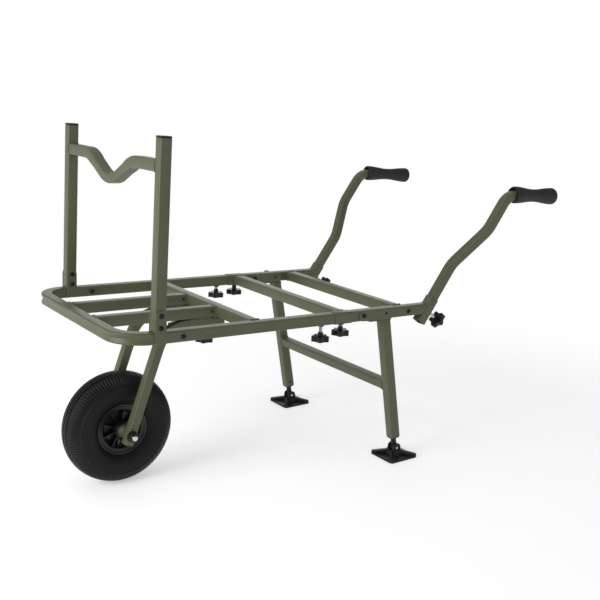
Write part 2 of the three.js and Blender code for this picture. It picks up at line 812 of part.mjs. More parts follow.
// The thin black strip on the outside of a fork arm's bend.
function bendStrip(sign) {
  const radius = forkBend + slimHalf + seat;
  const tangent = forkBend * Math.tan((Math.PI / 2 - forkLean) / 2);
  const centre = vec(forkCornerX + tangent, sign * barY, sleeveZ - forkBend);
  const loops = [];
  for (let i = 0; i <= stripSteps; i += 1) {
    const turn = (stripArc * i) / stripSteps;
    const outward = vec(-Math.sin(turn), 0, Math.cos(turn));
    const point = (r, y) => centre.clone().addScaledVector(outward, r).addScaledVector(Y, y);
    const outer = radius + stripThickness;
    const bevel = stripThickness / 2;
    loops.push([
      point(radius, -stripWidth / 2),
      point(outer - bevel, -stripWidth / 2),
      point(outer, bevel - stripWidth / 2),
      point(outer, stripWidth / 2 - bevel),
      point(outer - bevel, stripWidth / 2),
      point(radius, stripWidth / 2),
    ]);
  }
  return solid(skinned(loops));
}

// The axle bolt, with its head outside the right arm and its thread showing outside the left one.
function axleBolt() {
  const armFace = barY + slimHalf + seat;
  const tipY = armFace + nutWasherThickness + nutHeight + axleTip;
  const profile = [
    [0, 0],
    [axleHead / 2, 0],
    [axleHead / 2, axleHeadHeight * axleHeadShares.bevel],
    [(axleHead / 2) * axleHeadShares.top, axleHeadHeight],
    [0, axleHeadHeight],
  ];
  const shank = rod(vec(0, -tipY, 0), Y, axleDiameter / 2, tipY + armFace + seat, 14);
  return shank.add(turned(profile, vec(0, armFace, 0), Y, 14));
}

// The domed washer and lock nut on the axle's left end.
function axleNut() {
  const out = Y.clone().negate();
  const washer = [
    [0, 0],
    [nutWasher / 2, 0],
    [nutWasher / 2, nutWasherThickness / 2],
    [nutFlats / 2, nutWasherThickness],
    [0, nutWasherThickness],
  ];
  const start = vec(0, -(barY + slimHalf + seat), 0);
  const nutStart = start.clone().addScaledVector(out, nutWasherThickness / 2);
  const nutRadius = nutFlats / (2 * Math.cos(Math.PI / nutSides));
  return turned(washer, start, out, 14)
    .add(rod(nutStart, out, nutRadius, nutHeight + nutWasherThickness / 2, nutSides))
    .subtract(rod(vec(0, 0, 0), out, axleDiameter / 2 + spin, railSpan, 14));
}

// A cup-shaped spacer between the hub and a fork arm: wide and hollow at the hub, narrow at the arm.
function axleSpacer(sign) {
  const hubFace = hubHalf + bearingFlangeThickness + seat;
  const length = spacerFace - hubFace;
  const wall = plateThickness;
  const outside = [
    [0, 0],
    [spacerHub, 0],
    [spacerHub, length * spacerShares.rim],
    [spacerArm, length * spacerShares.waist],
    [spacerArm, length],
    [0, length],
  ];
  const hollow = [
    [0, -overrun],
    [spacerHub - wall, -overrun],
    [spacerHub - wall, length * spacerShares.rim],
    [axleDiameter / 2, length * spacerShares.hollow],
    [0, length * spacerShares.hollow],
  ];
  const start = vec(0, sign * hubFace, 0);
  const out = vec(0, sign, 0);
  const boreStart = start.clone().addScaledVector(out, -overrun);
  return turned(outside, start, out)
    .subtract(turned(hollow, start, out))
    .subtract(rod(boreStart, out, axleDiameter / 2 + spin, tyreWidth, 14));
}

// The moulded rim: flanges, bead seats and drop centre outside, a ribbed dish and hub inside.
function wheelRim() {
  const inner = rimWell - rimThickness;
  const seatHalf = rimLipHalf - rimThickness;
  const wellHalf = rimLipHalf / 3;
  const section = [
    [rimLip - rimThickness / 2, -rimLipHalf],
    [rimLip, -seatHalf],
    [rimSeat, -seatHalf + rimThickness / 2],
    [rimSeat, -wellHalf - rimThickness],
    [rimWell, -wellHalf],
    [rimWell, wellHalf],
    [rimSeat, wellHalf + rimThickness],
    [rimSeat, seatHalf - rimThickness / 2],
    [rimLip, seatHalf],
    [rimLip - rimThickness / 2, rimLipHalf],
    [rimLip - 2 * rimThickness, seatHalf],
    [rimSeat - rimThickness, seatHalf - rimThickness],
    [inner, wellHalf + rimThickness],
    [inner, -wellHalf - rimThickness],
    [rimSeat - rimThickness, -seatHalf + rimThickness],
    [rimLip - 2 * rimThickness, -seatHalf],
  ];
  const points = [...section, section[0]].map(([r, y]) => new THREE.Vector2(r, y));
  let body = solid(new THREE.LatheGeometry(points, rimFacets));
  body = body.add(disc(inner + rimThickness / 2, rimWebHalf, rimFacets)).add(disc(hubRadius, hubHalf));
  for (let i = 0; i < rimRibs; i += 1) {
    const rib = ribSolid();
    body = body.add(rib.rotate([0, (360 / rimRibs) * i, 0]));
  }
  const pocket = disc(bearingOuter + seat, tyreWidth)
    .subtract(disc(hubRadius, hubHalf - bearingWidth))
    .add(disc(axleDiameter, tyreWidth));
  const valveHole = rod(valveStart(), valveAxis(), valveRadius + spin, 2 * rimThickness + overrun);
  return body.subtract(pocket).subtract(valveHole);
}

// A disc about the wheel's axis, reaching equally far to both sides of its middle plane.
function disc(radius, halfWidth, facets = 16) {
  return solid(new THREE.CylinderGeometry(radius, radius, 2 * halfWidth, facets));
}

// A radial rib on both faces of the web, from the hub out to the barrel, sloping up to the rim.
function ribSolid() {
  const reachOut = rimSeat - rimThickness / 2;
  const edge = rimLipHalf - 2 * rimThickness;
  const shape = new THREE.Shape();
  shape.moveTo(hubRadius - rimThickness / 2, -edge);
  shape.lineTo(reachOut - rimThickness, -edge);
  shape.lineTo(reachOut - rimThickness, edge);
  shape.lineTo(hubRadius - rimThickness / 2, edge);
  const geometry = new THREE.ExtrudeGeometry(shape, { depth: rimRibThickness, bevelEnabled: false });
  geometry.translate(0, 0, -rimRibThickness / 2);
  return solid(geometry).intersect(disc(rimWell - rimThickness / 2, tyreWidth, rimFacets));
}

// The valve stands in the dish and leans out toward the left side.
const valveOut = vec(Math.cos(valvePlace), 0, Math.sin(valvePlace));
const valveStart = () =>
  valveOut
    .clone()
    .multiplyScalar(rimWell + overrun)
    .addScaledVector(Y, -rimWebHalf - valveRadius);
const valveAxis = () => valveOut.clone().negate().addScaledVector(Y, -Math.tan(valveLean)).normalize();

function valveStem() {
  const profile = [
    [0, 0],
    [valveRadius, 0],
    [valveRadius, valveLength * valveShares.shoulder],
    [valveTip, valveLength * valveShares.tip],
    [valveTip, valveLength],
    [0, valveLength],
  ];
  return turned(profile, valveStart(), valveAxis(), 10);
}

// A flanged bearing pressed into the hub's end.
function hubBearing(sign) {
  const start = vec(0, sign * (hubHalf + seat), 0);
  const inwards = vec(0, -sign, 0);
  const race = [
    [0, -bearingFlangeThickness + seat],
    [bearingFlange, -bearingFlangeThickness + seat],
    [bearingFlange, 0],
    [bearingOuter, 0],
    [bearingOuter, bearingWidth],
    [0, bearingWidth],
  ];
  return turned(race, start, inwards, 16).subtract(
    rod(vec(0, -tyreWidth, 0), Y, axleDiameter / 2 + spin, 2 * tyreWidth, 14),
  );
}

// The tyre: a crown of ribs parted by zig-zag grooves, shoulders notched into blocks, smooth walls,
// and a bead that grips each flange of the rim.
function tyre() {
  const halfWidth = tyreWidth / 2;
  const beadRadius = rimSeat + seat;
  const beadFace = rimLipHalf - rimThickness - rimThickness / 2 - seat;
  const flangeRadius = rimLip + seat;
  const wallRadius = (flangeRadius + tyreRadius) / 2;
  const pitch = (2 * treadHalf) / treadRibs;
  const crownRadius = (y) => tyreRadius - crownDrop * (y / treadHalf) ** 2;
  const crown = [[crownRadius(treadHalf), -treadHalf, 0, 0]];
  for (let i = 1; i < treadRibs; i += 1) {
    const groove = i * pitch - treadHalf;
    const floor = crownRadius(groove) - treadGroove;
    [-1, 1].forEach((side) => {
      const edge = groove + (side * treadGrooveWidth) / 2;
      const foot = groove + (side * treadGrooveWidth) / 4;
      const lip = [crownRadius(edge), edge, 0, treadZigzag];
      const bottom = [floor, foot, 0, treadZigzag];
      crown.push(...(side < 0 ? [lip, bottom] : [bottom, lip]));
    });
  }
  crown.push([crownRadius(treadHalf), treadHalf, 0, 0]);
  // Over the shoulder to the widest point, then in to the flange.
  const wall = [];
  for (let i = 0; i <= shoulderSteps; i += 1) {
    const fade = 1 - i / shoulderSteps;
    const turn = shoulderTurn * fade;
    const up = (tyreRadius - wallRadius) * Math.sin(turn) ** shoulderSquareness;
    wall.push([wallRadius + up, halfWidth * Math.cos(turn) ** shoulderSquareness, shoulderDepth * fade, 0]);
  }
  for (let i = 1; i <= wallSteps; i += 1) {
    const turn = ((Math.PI / 2) * i) / wallSteps;
    const across = rimLipHalf + (halfWidth - rimLipHalf) * Math.cos(turn);
    wall.push([wallRadius - (wallRadius - flangeRadius) * Math.sin(turn), across, 0, 0]);
  }
  wall.push([flangeRadius, rimLipHalf - rimThickness - seat, 0, 0], [beadRadius, beadFace, 0, 0]);
  const inside = [
    [beadRadius, beadFace - tyreThickness, 0, 0],
    [wallRadius, halfWidth - tyreThickness, 0, 0],
    [crownRadius(treadHalf) - treadGroove - tyreThickness, treadHalf - tyreThickness, 0, 0],
  ];
  const mirrored = (list) => list.map(([r, y, ...rest]) => [r, -y, ...rest]).reverse();
  const section = [...mirrored(wall), ...crown, ...wall, ...inside, ...mirrored(inside)];
  const steps = 2 * shoulderBlocks;
  const loops = [];
  for (let i = 0; i < steps; i += 1) {
    const turn = (2 * Math.PI * i) / steps;
    const notch = i % 2;
    const swing = (-1) ** i / 2;
    loops.push(
      section.map(([r, y, cut, zigzag]) => {
        const radius = r - cut * notch;
        return vec(radius * Math.cos(turn), y + zigzag * swing, radius * Math.sin(turn));
      }),
    );
  }
  return solid(ringSkin(loops));
}

// A skin over loops that run all the way round and meet.
function ringSkin(loops) {
  const positions = loops.flat().flatMap((p) => [p.x, p.y, p.z]);
  const index = [];
  const count = loops[0].length;
  loops.forEach((loop, i) => {
    const here = i * count;
    const there = ((i + 1) % loops.length) * count;
    loop.forEach((_, j) => {
      const next = (j + 1) % count;
      index.push(here + j, here + next, there + next);
      index.push(here + j, there + next, there + j);
    });
  });
  const geometry = new THREE.BufferGeometry();
  geometry.setAttribute("position", new THREE.Float32BufferAttribute(positions, 3));
  geometry.setIndex(index);
  return geometry;
}

// A handle tube: up out of its socket, a jog outwards, then the bend to the level grip.
const gripAlong = (sign) =>
  vec(Math.cos(gripTilt) * Math.cos(gripToe), -sign * Math.sin(gripToe), Math.sin(gripTilt));

function handleCorners(sign) {
  const start = socketPoint(sign, -socketLength / 2 + socketInset);
  const jogStart = socketPoint(sign, socketLength / 2 + handleRise);
  const jogEnd = jogStart
    .clone()
    .addScaledVector(socketAlong, jogRise)
    .addScaledVector(Y, sign * jogOut);
  const bend = jogEnd.clone().addScaledVector(socketAlong, handleUpper);
  const end = bend.clone().addScaledVector(gripAlong(sign), handleEnd);
  return [start, jogStart, jogEnd, bend, end];
}

function handleTube(sign) {
  const stations = bentPath(handleCorners(sign), [jogBend, jogBend, handleBend]);
  return bentTube(stations, Y, slimTube, slimWall, slimCorner);
}

// The foam grip, waisted, with rounded ends, a wide mouth that runs onto the handle's bend, and a
// closed cap over the tube's end.
function handGrip(sign) {
  const corners = handleCorners(sign);
  const end = corners[4];
  const along = gripAlong(sign);
  const profile = [[0, 0]];
  const steps = 4;
  profile.push([gripEnd - gripRound, 0]);
  profile.push([gripEnd - gripRound * gripRoundShare, gripRound * gripRoundShare]);
  for (let i = 0; i <= steps; i += 1) {
    const share = i / steps;
    const bulge = (1 + Math.cos(2 * Math.PI * share)) / 2;
    const radius = gripWaist + (gripEnd - gripWaist) * bulge;
    profile.push([radius, gripRound + share * (gripLength - 2 * gripRound)]);
  }
  profile.push([gripEnd - gripRound * gripRoundShare, gripLength - gripRound * gripRoundShare]);
  profile.push([gripEnd - gripRound, gripLength]);
  profile.push([0, gripLength]);
  const start = end.clone().addScaledVector(along, gripCap + seat - gripLength);
  const bore = slimTube + 2 * seat;
  const boreStart = start.clone().addScaledVector(along, -overrun);
  const boreEnd = end.clone().addScaledVector(along, seat);
  const mouthEnd = start.clone().addScaledVector(along, gripMouthDepth);
  const mouth = bore + 2 * gripMouthGap;
  return turned(profile, start, along)
    .subtract(straightTube(boreStart, boreEnd, bore, 0, slimCorner + seat))
    .subtract(straightTube(boreStart, mouthEnd, mouth, 0, slimCorner + gripMouthGap));
}

// The line of a leg's centre, as a function of the drop below the deck's top face.
const legTopX = legFrontX + half / Math.cos(legLean);
const legTopY = railOuterY - legInset - half;
const legPoint = (sign, drop) =>
  vec(legTopX + drop * Math.tan(legLean), sign * (legTopY - drop * Math.tan(legSplay)), -drop);
const legDown = (sign) => legPoint(sign, tube).sub(legPoint(sign, 0)).normalize();
// The foot's pin lies where the leg's line is the pin's height above the ground.
const pinFall = deckHeight * Math.cos(deckPitch) - legTopX * Math.sin(deckPitch) - footPinHeight;
const pinDrop = pinFall / (Math.cos(deckPitch) + Math.tan(legLean) * Math.sin(deckPitch));
const legEndDrop = pinDrop - stemDrop;
const floorZ = underside - seat - bracketThickness;

function leg(sign) {
  const top = legPoint(sign, -floorZ - tube);
  const cut = new THREE.BoxGeometry(3 * tube, 3 * tube, 2 * tube);
  cut.translate(legTopX, sign * legTopY, floorZ - seat + tube);
  return straightTube(top, legPoint(sign, legEndDrop)).subtract(solid(cut));
}

// The folded channel that carries a leg: two plates round the rail and a floor under it.
function legBracket(sign) {
  const outerFace = railOuterY + seat;
  const innerFace = railInnerY - seat;
  const top = -bracketPivotDrop + bracketNose;
  const shape = new THREE.Shape();
  shape.moveTo(bracketPivotX, -bracketPivotDrop - bracketNose);
  shape.lineTo(bracketFloorX - bracketChamfer, -bracketPivotDrop - bracketNose);
  shape.lineTo(bracketFloorX, floorZ);
  shape.lineTo(bracketRearX - bracketChamfer, floorZ);
  shape.lineTo(bracketRearX, floorZ + bracketChamfer);
  shape.lineTo(bracketRearX, top - tubeCorner);
  shape.lineTo(bracketPivotX, top - tubeCorner);
  const nose = bracketNose - tubeCorner / 2;
  shape.absarc(bracketPivotX, top - tubeCorner - nose, nose, Math.PI / 2, 1.5 * Math.PI);
  const outer = uprightPlate(shape, sign * outerFace, sign * (outerFace + bracketThickness));
  const inner = uprightPlate(shape, sign * innerFace, sign * (innerFace - bracketThickness));
  const low = Math.min(sign * outerFace, sign * innerFace) - bracketThickness / 2;
  const high = Math.max(sign * outerFace, sign * innerFace) + bracketThickness / 2;
  const floor = block(
    vec(bracketFloorX, low, floorZ),
    vec(bracketRearX - bracketChamfer, high, floorZ + bracketThickness),
  );
  const across = railSpan / 2;
  const pivot = vec(bracketPivotX, sign * railY - across / 2, -bracketPivotDrop);
  const lock = vec(lockX, sign * railY - across / 2, -lockDrop);
  return outer
    .add(inner)
    .add(floor)
    .subtract(rod(pivot, Y, boltShank / 2 + spin, across))
    .subtract(rod(lock, Y, lockHole / 2, across));
}

function legBolt(sign) {
  const clear = 2 * seat + bracketThickness;
  return buttonBolt(
    bracketPivotX, -bracketPivotDrop, sign * (railOuterY + clear), sign * (railInnerY - clear));
}

// The plunger that locks the right-hand leg, drawn out: its tip waits inside the bracket's plate, and
// pushed home it enters the rail's hole.
function lockPlunger() {
  const plate = railOuterY + seat;
  const face = plate + bracketThickness + plungerTravel;
  const profile = [
    [0, 0],
    [plungerFoot, 0],
    [plungerRadius, plungerHead * plungerShares.swell],
    [plungerRadius, plungerHead * plungerShares.shoulder],
    [plungerTop, plungerHead],
    [0, plungerHead],
  ];
  const pin = rod(vec(lockX, plate, -lockDrop), Y, lockHole / 2 - spin, face - plate + plungerHead / 2);
  return turned(profile, vec(lockX, face, -lockDrop), Y).add(pin);
}

function railBolt(sign) {
  const face = sign * (railOuterY + seat);
  const outward = vec(0, sign, 0);
  const head = vec(railBoltX, face, -railBoltDrop);
  const shank = tubeWall + seat + overrun;
  const tail = head.clone().addScaledVector(outward, -shank);
  return turned(boltDome, head, outward, 8).add(
    rod(tail, outward, boltShank / 2, shank + boltHeadHeight / 3, 8),
  );
}

function tieBar() {
  const middle = legPoint(1, tieDrop);
  const reach = middle.y - half - 2 * seat;
  const across = vec(Math.cos(legLean), 0, Math.sin(legLean));
  const setBack = half - tieTube / 2;
  const start = vec(middle.x, -reach, middle.z).addScaledVector(across, -setBack);
  const end = vec(middle.x, reach, middle.z).addScaledVector(across, -setBack);
  return straightTube(start, end, tieTube, tubeWall, tieCorner, across);
}

// A foot's stem: the plug in the leg's end, the stem, and the lug that the foot tilts on.
function footStem(sign) {
  const down = legDown(sign);
  const end = legPoint(sign, legEndDrop);
  const pin = legPoint(sign, pinDrop);
  const inside = tube - 2 * tubeWall - 2 * seat;
  const flange = end.clone().addScaledVector(down, seat);
  const plug = straightTube(
    end.clone().addScaledVector(down, -plugDepth),
    flange.clone().addScaledVector(down, seat),
    inside, 0, tubeCorner - tubeWall);
  const collar = straightTube(
    flange, flange.clone().addScaledVector(down, plugFlange), tube - tubeWall, 0, tubeCorner);
  const reach = pin.distanceTo(flange);
  return plug
    .add(collar)
    .add(rod(flange, down, stemRadius, reach))
    .add(rod(vec(pin.x, pin.y - lugWidth / 2, pin.z), Y, lugRadius, lugWidth, 12))
    .add(rod(vec(pin.x, pin.y - footPinReach(), pin.z), Y, footPin, 2 * footPinReach(), 8));
}

const footPinReach = () => lugWidth / 2 + seat + earThickness + seat;

// A foot: a level pad with a ridge out to each corner, a raised middle and two ears, about its pin at
// the origin.
function footPad() {
  const ground = -footPinHeight;
  const top = ground + footHubHeight;
  const chamfered = (length, width, cut, z) => [
    vec(length / 2, width / 2 - cut, z),
    vec(length / 2 - cut, width / 2, z),
    vec(cut - length / 2, width / 2, z),
    vec(-length / 2, width / 2 - cut, z),
    vec(-length / 2, cut - width / 2, z),
    vec(cut - length / 2, -width / 2, z),
    vec(length / 2 - cut, -width / 2, z),
    vec(length / 2, cut - width / 2, z),
  ];
  const outline = (z, inset = 0) =>
    chamfered(footLength - 2 * inset, footWidth - 2 * inset, footChamfer, z);
  const pad = skinned([
    outline(ground),
    outline(ground + footEdge - footEdgeBevel),
    outline(ground + footEdge, footEdgeBevel),
    chamfered(footHubSkirt, footHubSkirt, footChamfer, ground + footEdge + footEdgeBevel),
    chamfered(footHub, footHub, footChamfer, top),
  ]);
  let body = solid(pad);
  const cornerReach = Math.hypot(footLength, footWidth) / 2;
  const ridgeSide = new THREE.Shape();
  ridgeSide.moveTo(0, ground + footEdge / 2);
  ridgeSide.lineTo(cornerReach, ground + footEdge / 2);
  ridgeSide.lineTo(cornerReach, ground + footRidgeEnd);
  ridgeSide.lineTo(footHub / 2, top);
  ridgeSide.lineTo(0, top);
  const room = solid(skinned([outline(ground), outline(top)]));
  for (let i = 0; i < footRidges; i += 1) {
    const ridge = uprightPlate(ridgeSide, -footRidge / 2, footRidge / 2);
    const turn = (360 / footRidges) * (i + 1 / 2);
    body = body.add(ridge.rotate([0, 0, turn]).intersect(room));
  }
  const wide = lugWidth / 2 + seat;
  [-1, 1].forEach((side) => {
    const ear = new THREE.Shape();
    ear.moveTo(-earRadius, ground + footEdge);
    ear.lineTo(earRadius, ground + footEdge);
    ear.absarc(0, 0, earRadius, 0, Math.PI);
    body = body.add(uprightPlate(ear, side * wide, side * (wide + earThickness)));
  });
  const lugRoom = rod(vec(0, -wide, 0), Y, lugRadius + 2 * seat, 2 * wide, 12);
  const pinBore = rod(vec(0, -footWidth, 0), Y, footPin + spin, 2 * footWidth);
  return body.subtract(lugRoom).subtract(pinBore);
}

// The assembly
const deck = new THREE.Group();
deck.position.z = deckHeight;

const frontFrame = new THREE.Group();
frontFrame.add(mesh("front_loop", frontLoop(), olive));
frontFrame.add(mesh("crossbar_front", crossbar(frontCrossX), olive));
deck.add(frontFrame);

const rearFrame = new THREE.Group();
rearFrame.add(mesh("crossbar_middle", crossbar(middleCrossX, collarStep), olive));
rearFrame.add(mesh("crossbar_rear", crossbar(rearCrossX), olive));
deck.add(rearFrame);

const gate = new THREE.Group();
gate.position.x = postX;
gate.rotation.y = postLean;
gate.add(mesh("rest_bar", restBar(), olive));
deck.add(gate);

const fork = new THREE.Group();
deck.add(fork);

const wheel = new THREE.Group();
wheel.position.set(axleX, 0, axleZ);
wheel.rotation.y = -deckPitch;
wheel.add(mesh("tyre", tyre(), rubber));
wheel.add(mesh("wheel_rim", wheelRim(), black));
wheel.add(mesh("valve_stem", valveStem(), steel));
wheel.add(mesh("axle_bolt", axleBolt(), steel));
wheel.add(mesh("axle_nut", axleNut(), blackSteel));
deck.add(wheel);

const legs = new THREE.Group();
legs.add(mesh("leg_tie_bar", tieBar(), olive));
deck.add(legs);

const handles = new THREE.Group();
deck.add(handles);

const down = Z.clone().negate();
sides.forEach(({ name, sign }) => {
  const y = sign * railY;
  const right = sign > 0;
  frontFrame.add(mesh(`long_bar_${name}`, longBar(sign), olive));
  frontFrame.add(mesh(`inner_tube_${name}`, innerTube(sign), steel));
  frontFrame.add(mesh(`gate_bolt_${name}`, gateBolt(sign), blackSteel));
  frontFrame.add(mesh(`corner_plate_outer_${name}`, cornerPlate(sign, true), olive));
  frontFrame.add(mesh(`corner_plate_inner_${name}`, cornerPlate(sign, false), olive));
  const innerBottom = half + innerSize / 2 + seat; // drop to the inner tube's underside
  const frontDrop = frontKnobDrop - (right ? farKnobLift : 0);
  const rearDrop = rearKnobDrop - (right ? farRearKnobLift : 0);
  frontFrame.add(
    placedKnob(`knob_front_${name}`, vec(frontKnobX, y, -frontDrop), down, frontDrop - innerBottom));
  const forkKnobAt = vec(forkKnobX, sign * barY, -forkKnobDrop);
  const armBottom = -sleeveZ + slimHalf + seat;
  frontFrame.add(placedKnob(`knob_fork_${name}`, forkKnobAt, down, forkKnobDrop - armBottom));

  rearFrame.add(mesh(`rear_rail_${name}`, rearRail(sign), olive));
  rearFrame.add(mesh(`rail_bolt_${name}`, railBolt(sign), blackSteel));
  rearFrame.add(
    placedKnob(`knob_rear_${name}`, vec(rearKnobX, y, -rearDrop), down, rearDrop - innerBottom));

  gate.add(mesh(`post_${name}`, post(sign), olive));
  gate.add(mesh(`post_cap_${name}`, postCap(sign), black));

  fork.add(mesh(`fork_arm_${name}`, forkArm(sign), olive));
  fork.add(mesh(`fork_strip_${name}`, bendStrip(sign), black));

  wheel.add(mesh(`wheel_bearing_${name}`, hubBearing(sign), steel));
  wheel.add(mesh(`axle_spacer_${name}`, axleSpacer(sign), olive));

  legs.add(mesh(`leg_${name}`, leg(sign), olive));
  legs.add(mesh(`leg_bracket_${name}`, legBracket(sign), olive));
  legs.add(mesh(`leg_bolt_${name}`, legBolt(sign), blackSteel));
  legs.add(mesh(`foot_stem_${name}`, footStem(sign), black));
  const foot = mesh(`foot_${name}`, footPad(), rubber);
  foot.position.copy(legPoint(sign, pinDrop));
  foot.rotation.y = -deckPitch;
  legs.add(foot);

  handles.add(mesh(`handle_${name}`, handleTube(sign), olive));
  handles.add(mesh(`grip_${name}`, handGrip(sign), foam));
  const knobPlace = half + handleKnobReach;
  const knobAt = socketPoint(sign, 0).addScaledVector(socketRear, knobPlace);
  const tubeFace = slimHalf + seat;
  handles.add(placedKnob(`knob_handle_${name}`, knobAt, socketRear, knobPlace - tubeFace));
});
legs.add(mesh("lock_plunger", lockPlunger(), blackSteel));

const tilted = new THREE.Group();
tilted.rotation.y = deckPitch;
tilted.add(deck);

const trolley = new THREE.Group();
trolley.add(tilted);
trolley.updateMatrixWorld(true);
const extent = new THREE.Box3().setFromObject(trolley, true);
tilted.position.x = -(extent.min.x + extent.max.x) / 2;

export default trolley;
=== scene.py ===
import json
import math
import random

import bpy
from mathutils import Matrix, Vector


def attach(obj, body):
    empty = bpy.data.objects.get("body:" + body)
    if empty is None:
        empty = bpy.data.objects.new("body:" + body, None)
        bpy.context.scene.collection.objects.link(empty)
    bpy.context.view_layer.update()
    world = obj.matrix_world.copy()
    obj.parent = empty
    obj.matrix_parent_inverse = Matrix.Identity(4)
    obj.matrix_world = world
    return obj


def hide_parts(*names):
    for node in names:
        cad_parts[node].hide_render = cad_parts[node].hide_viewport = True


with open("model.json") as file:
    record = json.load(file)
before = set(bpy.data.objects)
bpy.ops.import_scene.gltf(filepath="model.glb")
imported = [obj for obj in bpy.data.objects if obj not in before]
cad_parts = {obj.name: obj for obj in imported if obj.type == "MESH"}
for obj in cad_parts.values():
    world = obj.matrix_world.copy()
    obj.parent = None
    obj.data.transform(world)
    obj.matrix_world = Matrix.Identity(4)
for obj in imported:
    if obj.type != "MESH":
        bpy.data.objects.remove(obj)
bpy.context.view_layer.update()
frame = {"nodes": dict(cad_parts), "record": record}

# The deck
# The trolley is drawn square to its deck, which pitches a little toward the handles once the wheel
# and both feet stand on level ground. The middle crossbar's top, a mount, says where the deck lies.
middle_cross_x = 0.2705
mount = next(m for m in frame["record"]["mounts"] if m["name"] == "deck_rest_middle")
deck_pitch = math.atan2(mount["axis"][0], mount["axis"][2])
deck = (
    Matrix.Translation(mount["pos_m"])
    @ Matrix.Rotation(deck_pitch, 4, "Y")
    @ Matrix.Translation((-middle_cross_x, 0, 0))
)
X = Vector((1, 0, 0))
Y = Vector((0, 1, 0))
Z = Vector((0, 0, 1))
left_and_right = (("left", -1), ("right", 1))

# The studio
# A sheet of white paper runs under the trolley and fades to plain white round it. A broad lamp stands
# behind it, a tall soft one in front on the left, and weak ones overhead and on the near side. The
# camera is at the photograph's angle.
camera_at = (-1.31275, -1.9431, 0.9241)
camera_azimuth = math.radians(-34.556)
camera_elevation = math.radians(13.289)
camera_roll = math.radians(1.006)
camera_lens = 57.32
paper_size = 40
paper_colour = (0.86, 0.86, 0.86, 1)
paper_glow = 0.42
fade_start = 0.9
fade_end = 1.5
world_strength = 0.4
white = (1, 1, 1, 1)


def add_node(tree, kind, values=None):
    """Adds a shader node, with values for its input sockets."""
    made = tree.nodes.new(kind)
    for socket, value in (values or {}).items():
        made.inputs[socket].default_value = value
    return made


def link(tree, *runs):
    """Links nodes. Each run says which node and output lead to which node and input."""
    for source, output, target, socket in runs:
        tree.links.new(source.outputs[output], target.inputs[socket])


def looked_at(tree, other):
    """A node that says whether the camera, or one other kind of ray, meets a surface."""
    rays = add_node(tree, "ShaderNodeLightPath")
    either = add_node(tree, "ShaderNodeMath")
    either.operation = "MAXIMUM"
    link(tree, (rays, "Is Camera Ray", either, 0), (rays, other, either, 1))
    return either


def deselect():
    """Starts afresh in object mode, with nothing selected."""
    bpy.ops.object.select_all(action="DESELECT")


camera_data = bpy.data.cameras.new("camera")
camera_data.lens = camera_lens
camera_data.clip_end = 50
camera = bpy.data.objects.new("camera", camera_data)
camera.matrix_world = (
    Matrix.Translation(camera_at)
    @ Matrix.Rotation(camera_azimuth, 4, "Z")
    @ Matrix.Rotation(math.pi / 2 - camera_elevation, 4, "X")
    @ Matrix.Rotation(camera_roll, 4, "Z")
)
bpy.context.scene.collection.objects.link(camera)
bpy.context.scene.camera = camera
bpy.context.scene.view_settings.view_transform = "Standard"

deselect()
bpy.ops.mesh.primitive_plane_add(size=paper_size)
floor = bpy.context.object
floor.name = "paper_floor"
paper = bpy.data.materials.new("white_paper")
paper.use_nodes = True
tree = paper.node_tree
shader = tree.nodes["Principled BSDF"]
shader.inputs["Base Color"].default_value = paper_colour
shader.inputs["Roughness"].default_value = 0.9
shader.inputs["Specular IOR Level"].default_value = 0.1
seen = looked_at(tree, "Is Glossy Ray")
glow = add_node(tree, "ShaderNodeEmission", {"Strength": paper_glow})
glowing = add_node(tree, "ShaderNodeAddShader")
place = add_node(tree, "ShaderNodeTexCoord")
away = add_node(tree, "ShaderNodeVectorMath")
away.operation = "LENGTH"
fade = add_node(tree, "ShaderNodeMapRange", {"From Min": fade_start, "From Max": fade_end})
plain = add_node(tree, "ShaderNodeEmission")
faded = add_node(tree, "ShaderNodeMixShader")
shown = add_node(tree, "ShaderNodeMixShader")
link(
    tree,
    (shader, 0, glowing, 0),
    (glow, 0, glowing, 1),
    (place, "Object", away, 0),
    (away, "Value", fade, "Value"),
    (fade, "Result", faded, 0),
    (glowing, 0, faded, 1),
    (plain, 0, faded, 2),
    (seen, 0, shown, 0),
    (shader, 0, shown, 1),
    (faded, 0, shown, 2),
    (shown, 0, tree.nodes["Material Output"], "Surface"),
)
floor.data.materials.append(paper)

world = bpy.data.worlds.new("studio")
world.use_nodes = True
bpy.context.scene.world = world
tree = world.node_tree
seen = looked_at(tree, "Is Transmission Ray")
dim = tree.nodes["Background"]
dim.inputs["Color"].default_value = white
dim.inputs["Strength"].default_value = world_strength
plain = add_node(tree, "ShaderNodeBackground", {"Color": white})
shown = add_node(tree, "ShaderNodeMixShader")
link(
    tree,
    (seen, 0, shown, 0),
    (dim, 0, shown, 1),
    (plain, 0, shown, 2),
    (shown, 0, tree.nodes["World Output"], "Surface"),
)

for name, at, aim, width, height, watts in (
    ("overhead_lamp", (0.2, 0.5, 2.6), (0, 0, 0.3), 2.4, 2.4, 4.5),
    ("back_lamp", (2.0, 3.0, 0.95), (0, 0, 0.3), 3.2, 1.8, 24.5),
    ("front_lamp", (-2.6, -0.2, 1.3), (0, 0, 0.4), 1.5, 1.5, 40),
    ("near_lamp", (0.8, -2.8, 1.2), (0, 0, 0.3), 1.6, 1.6, 4),
):
    lamp_data = bpy.data.lights.new(name, "AREA")
    lamp_data.shape = "RECTANGLE"
    lamp_data.size = width
    lamp_data.size_y = height
    lamp_data.energy = watts
    lamp = bpy.data.objects.new(name, lamp_data)
    lamp.location = at
    lamp.rotation_euler = (Vector(aim) - Vector(at)).to_track_quat("-Z", "Y").to_euler()
    lamp.visible_camera = False
    bpy.context.scene.collection.objects.link(lamp)

